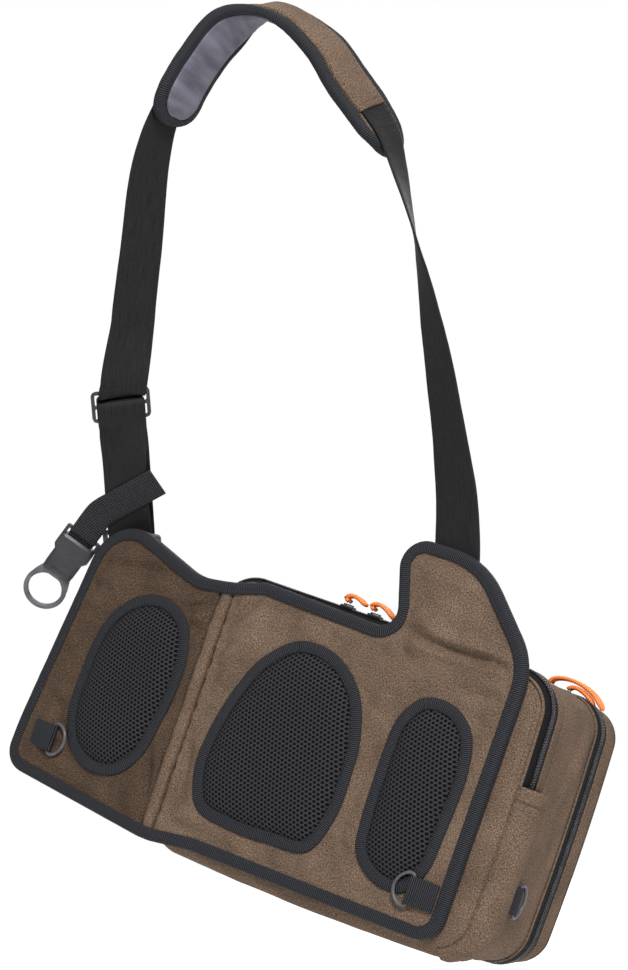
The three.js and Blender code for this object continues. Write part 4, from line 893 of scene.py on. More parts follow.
def edging(name, outline, section, source, waver=0.25):
    """Tape carried round an outline: a section of (inset, stand) rows, with a slight waver."""
    lines = [inset(outline, drawn) for drawn, _ in section]
    rows = []
    for i in [*range(len(outline)), 0]:
        spots = [(*lines[k][i], stand) for k, (_, stand) in enumerate(section)]
        rows.append([on_cloth(x, stand + wrinkle((x, stand, z), 9, waver), z) for x, z, stand in spots])
    laid(name, rows, TAPE, replaces=[source], thick=0.9)


BINDING_WIDTH = 10.5
edge_section = [
    (BINDING_WIDTH, -0.25), (BINDING_WIDTH - 0.2, -1.2), (BINDING_WIDTH - 2.2, -1.0), (BINDING_WIDTH - 4.5, -1.5),
    (4.0, -1.6), (2.0, -1.15), (0.8, -0.1), (0.1, 1.6), (0, 4), (0.1, 6.4), (0.8, 8.1), (2.0, 9.15), (4.0, 9.6),
    (BINDING_WIDTH - 2.2, 9.0), (BINDING_WIDTH, 9.0),
]
edging("edge_tape", whole_edge, edge_section, "edge_binding")


def seam_on(outline, drawn, stand, face=-1):
    """A seam round an outline on the wearer's face or the other, with the way out at each point."""
    line = inset(outline, drawn)
    line = np.vstack([line, line[:1]])
    points = [on_cloth(x, stand, z) for x, z in line]
    outs = [on_cloth(x, stand + face, z) - on_cloth(x, stand, z) for x, z in line]
    return points, outs


stitched("edge_stitch_front", *seam_on(whole_edge, BINDING_WIDTH - 2.2, -1.15), 3.4)
stitched("edge_stitch_back", *seam_on(whole_edge, BINDING_WIDTH - 2.2, 9.15, 1), 3.4)

# Mesh pads: the outer edge of each one's tape in the cloth's own plane, clockwise from the top left
MESH_PADS = {
    "left": [(-230, 72), (-200, 78), (-173, 65), (-161, 38), (-160, 7), (-165, -24), (-173, -54), (-193, -75),
             (-223, -80), (-250, -67), (-264, -40), (-265, -9), (-263, 22), (-253, 51)],
    "centre": [(-64, 81), (-29, 80), (0, 59), (15, 26), (19, -10), (17, -46), (3, -77), (-33, -82), (-69, -83),
               (-105, -76), (-119, -46), (-117, -10), (-108, 25), (-92, 58)],
    "right": [(58, 71), (86, 72), (107, 55), (114, 27), (114, -1), (112, -29), (109, -57), (93, -80), (66, -80),
              (44, -63), (39, -36), (38, -7), (38, 21), (41, 49)],
}
PAD_TAPE, PAD_DOME, PAD_SHOULDER, TAPE_STEP, END_POINTS = 10, 8, 7, 2.6, 80
DOME_SHARES = [1, 0.995, 0.985, 0.965, 0.94, 0.9, 0.85, 0.78, 0.7, 0.6, 0.5, 0.4, 0.3, 0.2, 0.1]
pad_section = [(0.1, -0.2), (0.1, -1.1), (0.7, -1.9), (1.8, -2.35), (5, -2.6), (8.2, -2.5), (9.6, -2.0), (10.2, -0.9)]


def mesh_pad(name, corners):
    """A pad's ribbed tape with its stitches, and its mesh domed inside it."""
    # The line runs on past both ends, so that it closes smoothly, and is cut where it passes the first corner
    ends = [*corners[-3:], *corners, *corners[:4]]
    line = smooth_line([(x, z, 0) for x, z in ends], 2.5)
    gone = np.abs(line[:, :2] - np.array(corners[0])).sum(axis=1)
    start = int(gone[:END_POINTS].argmin())
    end = len(line) - END_POINTS + int(gone[-END_POINTS:].argmin())
    outline = evenly(line[start : end + 1], TAPE_STEP)[:-1, :2]
    edging(f"pad_tape_{name}", outline, pad_section, f"mesh_binding_{name}", waver=0.3)
    stitched(f"pad_stitch_{name}", *seam_on(outline, PAD_TAPE - 1.6, -2.75), 3.2)
    field = inset(outline, PAD_TAPE - 0.4)
    middle = field.mean(axis=0)
    reach = np.linalg.norm(field - middle, axis=1).min()
    rows = []
    for share in DOME_SHARES:
        rise = PAD_DOME * (1 - exp(-(1 - share) * reach / PAD_SHOULDER)) + 0.6 * (1 - share * share)
        row = []
        for x, z in lerp(middle, field, share):
            puff = wrinkle((x, 0, z), 30, 0.8) * (1 - share**4)
            row.append(on_cloth(x, -0.6 - 0.94 * rise - puff, z))
        rows.append([*row, row[0]])
    dome = laid(f"mesh_dome_{name}", rows, MESH, replaces=[f"mesh_pad_{name}"], capped=True)
    threads_along(dome, WING if name == "left" else BAG)


for name, corners in MESH_PADS.items():
    mesh_pad(name, corners)


# Padded cloth, blown up a little by a cloth simulation between its seams
def nearest_on(objects):
    """A function that gives a place's distance to the nearest of some objects."""
    trees = []
    for obj in objects:
        mesh = obj.data
        trees.append(BVHTree.FromPolygons([v.co for v in mesh.vertices], [list(p.vertices) for p in mesh.polygons]))

    def distance(place):
        return min(tree.find_nearest(place)[3] for tree in trees)

    return distance


VOXEL, PRESSURE, MOST_SWELL, SLACK, SEAM_REACH, FRAMES = 3.4, 7.0, 3.4, 0.02, 7.5, 20
FRONT_HALF, FOLD_END, FOLD_SWELL, SWELL_AT = 3, 0.15, 0.55, 1.9


def voxel_copy(name, source):
    """A CAD solid as an even mesh that can be blown up."""
    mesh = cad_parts[source].data.copy()
    bm = bmesh.new()
    bm.from_mesh(mesh)
    bmesh.ops.remove_doubles(bm, verts=bm.verts, dist=2e-6)
    bm.to_mesh(mesh)
    bm.free()
    work = bpy.data.objects.new(f"{name}_work", mesh)
    scene.collection.objects.link(work)
    remesh = work.modifiers.new("voxels", "REMESH")
    remesh.mode = "VOXEL"
    remesh.voxel_size = VOXEL * MM
    graph = bpy.context.evaluated_depsgraph_get()
    mesh = bpy.data.meshes.new_from_object(work.evaluated_get(graph))
    bpy.data.objects.remove(work)
    obj = bpy.data.objects.new(name, mesh)
    scene.collection.objects.link(obj)
    return obj


def blown_up(obj, rest, hold):
    """Where the cloth simulation takes the points, held by the weights of its seams."""
    group = obj.vertex_groups.new(name="seams")
    for index, weight in enumerate(hold):
        group.add([index], float(weight), "REPLACE")
    cloth = obj.modifiers.new("cloth", "CLOTH")
    settings = cloth.settings
    settings.quality = 5
    settings.mass = 0.25
    settings.tension_stiffness = 12
    settings.compression_stiffness = 12
    settings.shear_stiffness = 6
    settings.bending_stiffness = 0.6
    settings.use_pressure = True
    settings.uniform_pressure_force = PRESSURE
    settings.shrink_min = -SLACK
    settings.vertex_group_mass = "seams"
    settings.effector_weights.gravity = 0
    cloth.collision_settings.use_collision = False
    cloth.point_cache.frame_start = 1
    cloth.point_cache.frame_end = FRAMES
    for number in range(1, FRAMES + 1):
        scene.frame_set(number)
    graph = bpy.context.evaluated_depsgraph_get()
    blown = obj.evaluated_get(graph).to_mesh()
    moved = np.array([v.co for v in blown.vertices]) - rest
    obj.evaluated_get(graph).to_mesh_clear()
    obj.modifiers.remove(cloth)
    scene.frame_set(1)
    far = np.linalg.norm(moved, axis=1)
    moved *= np.minimum(1, MOST_SWELL * MM / np.maximum(far, 1e-9))[:, None]
    return rest + moved * (1 - hold)[:, None]


def fold_depth(x, z, folds):
    """How far the folds pull the cloth in at a place, with a soft swell on both sides of each."""
    sink = 0.0
    for x0, z0, x1, z1, depth, width in folds:
        a, b = Vector((x0, z0)), Vector((x1, z1))
        p = Vector((x, z))
        share = min(1, max(0, (p - a).dot(b - a) / (b - a).length_squared))
        gone = (p - a.lerp(b, share)).length / width
        ends = min(1, 4 * share + FOLD_END, 4 * (1 - share) + FOLD_END)
        sink += ends * depth * (exp(-gone * gone) - FOLD_SWELL * exp(-((gone - SWELL_AT) ** 2)))
    return sink


def stuffed(name, source, seams, material, place, folds):
    """Padded cloth in the space of a CAD solid, swelled between its seams and folded on the wearer's side."""
    obj = voxel_copy(name, source)
    mesh = obj.data
    distance = nearest_on(seams)
    rest = np.array([v.co for v in mesh.vertices])
    hold = [1 - smoothstep(distance(v.co) / MM, SEAM_REACH * 0.4, SEAM_REACH) for v in mesh.vertices]
    hold = np.array(hold)
    rest = blown_up(obj, rest, hold)
    back = place.inverted()
    turn = place.to_3x3()
    for vert, co in zip(mesh.vertices, rest):
        here = back @ (Vector(co) / MM)
        vert.co = co
        if here.y < FRONT_HALF:
            sink = fold_depth(here.x, here.z, folds) - wrinkle((here.x, 0, here.z), 28, 2.8)
            vert.co = Vector(co) + turn @ Vector((0, sink * (1 - 0.8 * hold[vert.index]), 0)) * MM
    mesh.materials.clear()
    mesh.materials.append(material)
    mesh.polygons.foreach_set("use_smooth", [True] * len(mesh.polygons))
    smooth = obj.modifiers.new("smooth", "SUBSURF")
    smooth.levels = smooth.render_levels = 1
    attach(obj, "bag")
    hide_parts(source)
    threads_along(obj, place)


# Folds on the cloth: ends in the panel's or wing's plane, depth and width
PANEL_FOLDS = [
    (-6, 116, 54, 117, 4.2, 6),
    (33, 113, 122, 114, 6.4, 3.4),
    (76, 88, 128, 86, 2.6, 6),
    (60, 150, 96, 168, 2.0, 8),
    (-139, 62, -112, 102, 5.0, 4.5),
    (-139, 40, -118, 78, 4.2, 4.5),
    (-139, 82, -126, 108, 3.6, 3.5),
    (-136, 18, -124, 46, 2.6, 4),
    (-136, -10, -124, -78, 3.0, 5),
    (24, -66, 33, 50, 2.4, 6),
    (-128, -98, -60, -99, 2.4, 6),
    (-100, 98, -60, 106, 2.2, 6),
]
WING_FOLDS = [
    (-28, 68, -2, 92, 4.6, 4.5),
    (-38, 50, -2, 66, 4.0, 4.5),
    (-32, 90, -8, 97, 3.2, 4),
    (-138, 84, -56, 100, 3.6, 6),
    (-158, 58, -116, 72, 3.0, 5),
    (-158, -2, -124, 12, 2.4, 5),
    (-150, -64, -40, -90, 3.2, 6),
    (-22, -36, -4, -84, 3.4, 4.5),
    (-8, 44, -9, -30, 2.8, 5),
]
edge_seams = [bpy.data.objects["edge_tape"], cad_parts["fold_strip"]]
left_seam, centre_seam, right_seam = (bpy.data.objects[f"pad_tape_{name}"] for name in MESH_PADS)
panel_seams, wing_seams = [*edge_seams, centre_seam, right_seam], [*edge_seams, left_seam]
stuffed("panel_cloth", "back_panel", panel_seams, BROWN, BAG, PANEL_FOLDS)
# The wing, cut from the same cloth as the panel, takes the darker brown, which is in part painted shade.
stuffed("wing_cloth", "left_wing", wing_seams, DARK_BROWN, WING, WING_FOLDS)


# The fold: a soft ridge between two sewn creases
RIDGE_FRONT, RIDGE_BACK, RIDGE_MIDDLE, RIDGE_END = 6.2, 3.6, 4, 0.62


def fold_ridge():
    """The ridge, lower where it goes under the edge tape and more wrinkled toward its top."""
    rows = []
    for z in np.linspace(FOLD_BOTTOM + 1.8, FOLD_TOP - 0.5, 110):
        top = smoothstep(z, 30, 100)
        foot, head = smoothstep(z, FOLD_BOTTOM + 9, FOLD_BOTTOM + 18), smoothstep(-z, 16 - FOLD_TOP, 26 - FOLD_TOP)
        ends = RIDGE_END + (1 - RIDGE_END) * min(foot, head)
        row = []
        for angle in np.linspace(0, 2 * pi, 33):
            across = cos(angle) * (FOLD_WIDTH / 2 - 0.4)
            lift = sin(angle)
            front = max(0, -lift) ** 0.75 * ends
            height = RIDGE_MIDDLE + RIDGE_BACK * max(0, lift) ** 0.55 - RIDGE_FRONT * front
            waver = wrinkle((across, 0, z), 14, 1.2 + 1.6 * top) * front * (2.6 * ends - 1.6)
            row.append(on_cloth(FOLD_MIDDLE + across, height - waver, z))
        row[-1] = row[0]
        rows.append(row)
    ridge = laid("fold_ridge", rows, BROWN, replaces=["fold_strip"], capped=True)
    threads_along(ridge, BAG)


fold_ridge()
for x, name in ((FOLD_X + 1.2, "panel"), (WING_X - 1.2, "wing")):
    heights = np.linspace(FOLD_BOTTOM + 10, FOLD_TOP - 10, 60)
    points = [on_cloth(x, -0.15, z) for z in heights]
    outs = [on_cloth(x, -1, z) - on_cloth(x, 0, z) for z in heights]
    stitched(f"fold_stitch_{name}", points, outs, 3.4, BROWN_THREAD, "dark_brown_cloth")


# Shoulder strap: the route of the webbing's middle, its turn about +Z and its lean at the crown
STRAP_WIDTH, STRAP_THICK = 40, 2
SHOULDER_WIDTH, SHOULDER_THICK, SHOULDER_EDGE = 65, 6, 9
SHOULDER_RIGHT, SHOULDER_LEFT, SHOULDER_CORNER = 162, 142, 29
SLEEVE_RIGHT, SLEEVE_LEFT, SLEEVE_WIDTH = 118, 96, 45
PAD_TOP = -2.6
PAD_BASE = PAD_TOP - SHOULDER_THICK
LINING_TOP = PAD_BASE - GAP
CROWN_RISE = 1 - LINING_TOP


def behind_wing(share):
    return (*(BAG @ Vector((lerp(53, 39, share), 10.9, lerp(135, 186, share)))), 180, None)


STRAP_ROUTE = [
    behind_wing(0),
    behind_wing(0.5),
    behind_wing(1),
    (154, 19, -395, 170, None),
    (150, 19, -363, 161, None),
    (145, 20, -331, 154, None),
    (136, 22, -282, 146, None),
    (125, 25, -233, 133, None),
    (114, 29, -190, 117, None),
    (102, 35, -151, 104, None),
    (91, 39, -117, 93, None),
    (83, 40, -94, 84, None),
    (71, 36, -72, 78, None),
    (57, 29, -50, 77, None),
    (37, 18, -17, 77, None),
    (0, 0, CROWN_RISE, 77, 0.28),
    (-37, -18, -5, 80, None),
    (-62, -31, -39, 86, None),
    (-75, -39, -67, 86, None),
    (-85, -42, -90, 80, None),
    (-97, -38, -124, 70, None),
    (-112, -26, -188, 61, None),
    (-123, -17, -229, 57, None),
    (-132, -9, -266, 53, None),
]


def route_rows():
    points = [r[:3] for r in STRAP_ROUTE]
    rows = []
    for i, (x, y, z, turn, lean) in enumerate(STRAP_ROUTE):
        along = heading(points, i)
        level = Vector((cos(radians(turn)), sin(radians(turn)), 0))
        level = (level - along * level.dot(along)).normalized()
        level.z = level.z if lean is None else lean
        rows.append((x, y, z, *level.normalized()))
    return rows


ROUTE = smooth_line(route_rows(), 4)
ROUTE_LENGTHS = np.concatenate([[0], np.cumsum(np.linalg.norm(np.diff(ROUTE[:, :3], axis=0), axis=1))])
ROUTE_END = ROUTE_LENGTHS[-1]
CROWN_AT = ROUTE_LENGTHS[np.linalg.norm(ROUTE[:, :3] - np.array([0, 0, CROWN_RISE]), axis=1).argmin()]
PAD_FROM, PAD_TO = CROWN_AT - SHOULDER_RIGHT, CROWN_AT + SHOULDER_LEFT


def station(length):
    """Middle of the webbing, the way across it and the way out from the wearer, at a length."""
    here, before, after = (
        Vector([np.interp(s, ROUTE_LENGTHS, ROUTE[:, k]) for k in range(6)]) for s in (length, length - 5, length + 5)
    )
    along = (Vector(after[:3]) - Vector(before[:3])).normalized()
    across = Vector(here[3:6])
    across = (across - along * across.dot(along)).normalized()
    return Vector(here[:3]), across, across.cross(along)


def beside(length, out, across):
    middle, w, o = station(length)
    return middle + w * across + o * out


def pad_half(length, drawn):
    """Half the shoulder pad's width at a length of the route, with its outline drawn in."""
    end = max(0, min(length - PAD_FROM, PAD_TO - length) - drawn)
    return SHOULDER_WIDTH / 2 - drawn - rounding(end, SHOULDER_CORNER - drawn)


def pad_lengths(drawn, step=4.0):
    """Lengths of the route along the pad, close together at its round ends."""
    low, high = PAD_FROM + drawn, PAD_TO - drawn
    nose = [0, 0.4, 1.2, 2.6, 5, 8, 12]
    inner = np.linspace(low + 15, high - 15, int((high - low - 30) / step))
    return [*[low + d for d in nose], *inner, *[high - d for d in reversed(nose)]]


# Webbing section, from one selvedge to the other, as shares of half its width and half its thickness
WEB_TOP = [(-1, 0), (-0.985, 0.7), (-0.93, 1), (-0.6, 1), (-0.2, 1), (0.2, 1), (0.6, 1), (0.93, 1), (0.985, 0.7)]
WEB_SECTION = [*WEB_TOP, *[(-a, -b) for a, b in WEB_TOP], WEB_TOP[0]]


def webbing(name, stations, width, thick, material, source, waver=0.0):
    """A band through stations of a middle, a way across and a way out."""
    rows = []
    for middle, across, out in stations:
        shifts = [wrinkle(middle + across * a * 20, 38, waver) for a, _ in WEB_SECTION]
        rows.append([
            middle + across * (a * width / 2) + out * (b * thick / 2 + shift)
            for (a, b), shift in zip(WEB_SECTION, shifts)
        ])
    laid(name, rows, material, replaces=[source], capped=True)


def free_stations(rows, step):
    """Stations along points that each know the way across."""
    line = smooth_line(rows, step)
    made = []
    for i, row in enumerate(line):
        along = heading(line[:, :3], i)
        across = Vector(row[3:6])
        across = (across - along * across.dot(along)).normalized()
        made.append((Vector(row[:3]), across, across.cross(along)))
    return made


right_lengths = np.linspace(0, CROWN_AT - GAP, 150)
right_stations = [station(s) for s in right_lengths]
webbing("strap_right", right_stations, STRAP_WIDTH, STRAP_THICK, STRAP, "right_strap", waver=0.5)

# Below the slider the strap runs to the ring behind the left wing and turns on its way
SLIDER_AT = Vector((-146.5, 0, -315))
SLIDER_HEIGHT, SLIDER_BAR, SLIDER_THICK, LOOP_BAR, LOOP_HEIGHT = 28, 3, 3, 4, 16
SLIDER_SIDE, TWIST_END = 1.2, 48
LOOP_X, LOOP_Z = WING_X - WING_REACH * 0.74, WING_TOP - 19
LOOP_AT = on_cloth(LOOP_X, PANEL_THICK + 13.5, LOOP_Z)
LOWER = (LOOP_AT - SLIDER_AT).length
UPWARD = (SLIDER_AT - LOOP_AT).normalized()
BAR_TOP = SLIDER_HEIGHT / 2


def strap_frame(down):
    """The lower strap's frame at a length below the slider, turning between slider and ring."""
    turn = radians(lerp(40, 8, smoothstep(down, BAR_TOP, TWIST_END)))
    level = Vector((cos(turn), sin(turn), 0))
    across = (level - UPWARD * level.dot(UPWARD)).normalized()
    made = Matrix((across, UPWARD, across.cross(UPWARD))).transposed().to_4x4()
    made.translation = SLIDER_AT - UPWARD * down
    return made


def on_strap(down, rise, side=0.0):
    """A row of a point and the way across, at a length below the slider."""
    place = strap_frame(down)
    return (*(place @ Vector((side, 0, rise))), *(place.to_3x3() @ Vector((1, 0, 0))))


def wrap(down, radius, start, end):
    """Places of (length, rise) round a bar, between two angles."""
    angles = [radians(a) for a in np.linspace(start, end, 7)]
    return [(down + radius * cos(a), radius * sin(a)) for a in angles]


slider_wrap = hypot(SLIDER_BAR, SLIDER_THICK) / 2 + GAP + 1
loop_wrap = hypot(LOOP_BAR, SLIDER_THICK) / 2 + GAP + 1
over_bar = SLIDER_THICK / 2 + GAP + 1
behind_wrap = -(slider_wrap + STRAP_THICK + GAP)
slot_top = BAR_TOP - SLIDER_BAR
slot_middle = (slot_top + slider_wrap + 1) / 2
LOWER_RUN = [
    (-BAR_TOP - 12, over_bar, SLIDER_SIDE * 4),
    (-BAR_TOP, over_bar, SLIDER_SIDE * 2),
    (-slot_top, over_bar, SLIDER_SIDE),
    (-slot_top + 1.8, over_bar * 0.75, SLIDER_SIDE),
    (-slot_middle, 0, SLIDER_SIDE),
    (-slot_middle + 0.6, behind_wrap * 0.48),
    (-slot_middle + 3.4, behind_wrap * 0.9),
    (0, behind_wrap),
    (BAR_TOP, behind_wrap),
    (lerp(BAR_TOP, TWIST_END, 0.5), behind_wrap),
    (TWIST_END, behind_wrap),
    (LOWER - 16, -loop_wrap - 0.5),
    *wrap(LOWER, loop_wrap, -90, 90),
    (LOWER - 16, loop_wrap),
    (TWIST_END, over_bar + 0.3),
    (lerp(BAR_TOP, TWIST_END, 0.5), over_bar),
    (BAR_TOP + 4, over_bar),
    (slot_top - 1, over_bar),
    *wrap(0, slider_wrap, 90, 270),
    (slot_top - 2, -slider_wrap + 0.3),
]
upper_lengths = np.linspace(CROWN_AT + GAP, ROUTE_END - 4, 80)[::4]
upper_rows = [(*middle, *across) for middle, across, _ in map(station, upper_lengths)]
left_rows = [*upper_rows, *[on_strap(*run) for run in LOWER_RUN]]
left_stations = free_stations(left_rows, 2.2)
webbing("strap_left", left_stations, STRAP_WIDTH, STRAP_THICK, STRAP, "left_strap", waver=0.35)


# Shoulder pad: foam under a brown sleeve, a slate lining to the wearer, ribbed tape round both
def pad_foam():
    drawn = 1.6
    rows = []
    for length in pad_lengths(drawn):
        half = pad_half(length, drawn)
        top = [beside(length, PAD_TOP + 0.2 + 0.7 * (1 - (a / half) ** 2), a) for a in np.linspace(-half, half, 15)]
        under = [beside(length, PAD_BASE, a) for a in np.linspace(half, -half, 15)]
        rows.append([*top, *under, top[0]])
    foam = laid("shoulder_foam", rows, BROWN, replaces=["shoulder_pad"], capped=True)
    threads_along(foam, ROW)


def pad_lining():
    drawn = SHOULDER_EDGE - 0.4
    rows = []
    for length in pad_lengths(drawn, 2.5):
        half = max(0.5, pad_half(length, drawn))
        row = []
        for a in np.linspace(-half, half, 21):
            edge = min(1, (half - abs(a)) / 5, (length - PAD_FROM - drawn) / 5, (PAD_TO - drawn - length) / 5)
            pucker = noise.fractal(Vector((length / 13, a / 60, 3.1)), 0.9, 2.0, 3)
            row.append(beside(length, LINING_TOP - 0.7 - max(0, edge) * (1.7 + 1.6 * pucker), a))
        rows.append(row)
    cover = ["shoulder_lining"]
    laid("shoulder_lining_cloth", rows, LINING, replaces=cover, thick=0.8, outward=False)


def pad_tape():
    lengths = pad_lengths(0, 3)
    outline = [(s, -pad_half(s, 0), 0) for s in lengths] + [(s, pad_half(s, 0), 0) for s in reversed(lengths)]
    outline = evenly(np.array([*outline, outline[0]]), TAPE_STEP)[:-1, :2]
    low, high = PAD_BASE - GAP, PAD_TOP + GAP
    section = [
        (SHOULDER_EDGE, low), (SHOULDER_EDGE - 0.3, low - 0.8), (6, low - 1), (3, low - 1), (1.2, low - 0.4),
        (0.2, low + 1.2), (0, (low + high) / 2), (0.2, high - 1.2), (1.2, high + 0.4), (3, high + 1), (6, high + 1),
        (SHOULDER_EDGE - 0.3, high + 0.8), (SHOULDER_EDGE, high),
    ]
    lines = [inset(outline, drawn) for drawn, _ in section]
    rows = []
    for i in [*range(len(outline)), 0]:
        spots = [(*lines[k][i], out) for k, (_, out) in enumerate(section)]
        rows.append([beside(a, out + wrinkle((a, across, out), 9, 0.25), across) for a, across, out in spots])
    laid("shoulder_tape", rows, TAPE, replaces=["shoulder_binding"], thick=0.8)
    for name, stand, face in (("outer", high + 0.9, 1), ("inner", low - 0.9, -1)):
        line = inset(outline, SHOULDER_EDGE - 1.9)
        line = [*line, line[0]]
        points = [beside(a, stand, b) for a, b in line]
        outs = [station(a)[2] * face for a, b in line]
        stitched(f"shoulder_stitch_{name}", points, outs, 3.4)


def sleeve_rise(side):
    return lerp(PAD_TOP + 1.1, 1 + GAP + 1.1, max(0, 1 - abs(side) ** 5) ** 0.6)


def pad_sleeve():
    foot = SLEEVE_WIDTH / 2
    rows = []
    for length in np.linspace(CROWN_AT - SLEEVE_RIGHT, CROWN_AT + SLEEVE_LEFT, 90):
        row = []
        for a in np.linspace(-1, 1, 25):
            out = sleeve_rise(a)
            pucker = wrinkle(beside(length, out, a * foot), 22, 0.9) * (1 - a * a)
            row.append(beside(length, out + pucker, a * foot))
        rows.append(row)
    sleeve = laid("shoulder_sleeve_cloth", rows, BROWN, replaces=["shoulder_sleeve"], thick=0.9)
    threads_along(sleeve, ROW)
    for name, length in (("right", CROWN_AT - SLEEVE_RIGHT + 6), ("left", CROWN_AT + SLEEVE_LEFT - 6)):
        line = [beside(length, sleeve_rise(a) + 0.35, a * foot) for a in np.linspace(-0.92, 0.92, 20)]
        stitched(f"sleeve_stitch_{name}", line, station(length)[2], 3.2, BROWN_THREAD, "brown_cloth")


pad_foam()
pad_lining()
pad_tape()
pad_sleeve()

# Slider, loop ring and the ring's tab
dressed("strap_adjuster", "strap_slider", ACETAL, bevel=0.9, segments=3)
dressed("wing_loop", "loop_ring", GREY_ACETAL, bevel=0.8, segments=3)
dressed("wing_loop_tab", "loop_tab", STRAP, bevel=0.3, place=strap_frame(LOWER))

# Buckle webbing, sewn slanting across the strap, and the buckle with its accessory ring
WEB_SEWN, BUCKLE_WEB_FREE, BUCKLE_WEB_WIDTH, BUCKLE_WEB_THICK = 64, 27.5, 25, 1.5
BUCKLE_LENGTH, BUCKLE_WIDTH, BUCKLE_THICK, BUCKLE_BAR = 44, 34, 11, 3
web_rise = loop_wrap + 1 + 2 * GAP + BUCKLE_WEB_THICK / 2
WEB_FRAME = (
    strap_frame(66) @ Matrix.Translation((30, 0, web_rise)) @ Matrix.Rotation(pi + radians(32), 4, "Z")
)
BUCKLE_FRAME = (
    WEB_FRAME
    @ Matrix.Translation((WEB_SEWN, 0, 0))
    @ Matrix.Rotation(radians(-10), 4, "Y")
    @ Matrix.Rotation(radians(21), 4, "Z")
)
web_wrap = hypot(BUCKLE_BAR, BUCKLE_BAR) / 2 + GAP + BUCKLE_WEB_THICK / 2
AT_BAR = BUCKLE_FRAME @ Matrix.Translation((BUCKLE_WEB_FREE, 0, -web_wrap))


def buckle_webbing():
    under = -BUCKLE_WEB_THICK - GAP
    free = [
        (2, 0),
        *[(x, z - web_wrap) for x, z in wrap(BUCKLE_WEB_FREE, web_wrap, 90, -90)],
        (BUCKLE_WEB_FREE - 9, under * 1.3),
        (BUCKLE_WEB_FREE - 13, under * 1.2),
    ]
    sewn = WEB_FRAME.to_3x3() @ Vector((0, 1, 0))
    turned = BUCKLE_FRAME.to_3x3() @ Vector((0, 1, 0))
    rows = [(*(WEB_FRAME @ Vector((x, 0, 0))), *sewn) for x in (0, 20, 40, WEB_SEWN - 5)]
    rows += [(*(BUCKLE_FRAME @ Vector((x, 0, z))), *turned) for x, z in free]
    webbing("buckle_web", free_stations(rows, 1.5), BUCKLE_WEB_WIDTH, BUCKLE_WEB_THICK, COARSE, "buckle_webbing")
    for number, x in enumerate((BUCKLE_WEB_FREE - 11.5, BUCKLE_WEB_FREE - 6.5)):
        line = [BUCKLE_FRAME @ Vector((x, y, 0.85)) for y in np.linspace(-11, 11, 12)]
        out = BUCKLE_FRAME.to_3x3() @ Vector((0, 0, 1))
        stitched(f"buckle_web_stitch_{number}", line, out, 2.6, width=0.9)


def rounded_outline(bm, outline, low, high, bevel, place):
    """A flat outline drawn out between two heights, with its rims rounded."""
    verts = [bm.verts.new(place @ Vector((x, y, low)) * MM) for x, y in outline]
    face = bm.faces.new(verts)
    up = place.to_3x3() @ Vector((0, 0, high - low)) * MM
    made = bmesh.ops.extrude_face_region(bm, geom=[face], use_keep_orig=True)["geom"]
    top = [g for g in made if isinstance(g, bmesh.types.BMVert)]
    bmesh.ops.translate(bm, vec=up, verts=top)
    block = {*verts, *top}
    rims = [e for e in bm.edges if block.issuperset(e.verts)]
    bmesh.ops.recalc_face_normals(bm, faces=bm.faces)
    bmesh.ops.bevel(bm, geom=rims, offset=bevel * MM, segments=2, profile=0.5, affect="EDGES", material=-1,
                    clamp_overlap=True)


def rounded_block(bm, low, high, bevel, place):
    """A block between two corners with rounded edges."""
    middle = (Vector(low) + Vector(high)) / 2
    size = Vector(high) - Vector(low)
    shape = place @ Matrix.Translation(middle)
    shape.translation = shape.translation * MM
    shape = shape @ Matrix.Diagonal((size.x * MM, size.y * MM, size.z * MM, 1))
    made = bmesh.ops.create_cube(bm, size=1, matrix=shape)["verts"]
    edges = list(dict.fromkeys(e for v in made for e in v.link_edges))
    bmesh.ops.bevel(bm, geom=edges, offset=bevel * MM, segments=3, profile=0.5, affect="EDGES", material=-1)


def buckle_details():
    """The two sprung arms that show in the socket's waist, three grip ribs and a near-black block whose colour paints
    the shade of a slot.
    """
    bm = bmesh.new()
    face = BUCKLE_THICK / 2
    arm_from, arm_to, arm_half, arm_rise = BUCKLE_LENGTH * 0.5, BUCKLE_LENGTH * 0.92, 1.6, 3.2
    for y in (-BUCKLE_WIDTH / 2 * 0.74, BUCKLE_WIDTH / 2 * 0.74):
        rounded_block(bm, (arm_from, y - arm_half, -arm_rise), (arm_to, y + arm_half, arm_rise), 1.3, AT_BAR)
    for x in (BUCKLE_LENGTH * 0.56, BUCKLE_LENGTH * 0.64, BUCKLE_LENGTH * 0.72):
        rounded_block(bm, (x - 0.5, -6, face - 0.5), (x + 0.5, 6, face + 0.5), 0.4, AT_BAR)
    piece("buckle_arms", bm, ACETAL, crease=40)
    bm = bmesh.new()
    # A thin near-black block on the socket's face stands in for the slot: painted shade.
    rounded_block(bm, (BUCKLE_LENGTH - 6.5, -7, face - 0.4), (BUCKLE_LENGTH - 4.5, 7, face + 0.06), 0.2, AT_BAR)
    piece("buckle_slot_shade", bm, THREAD, crease=40)


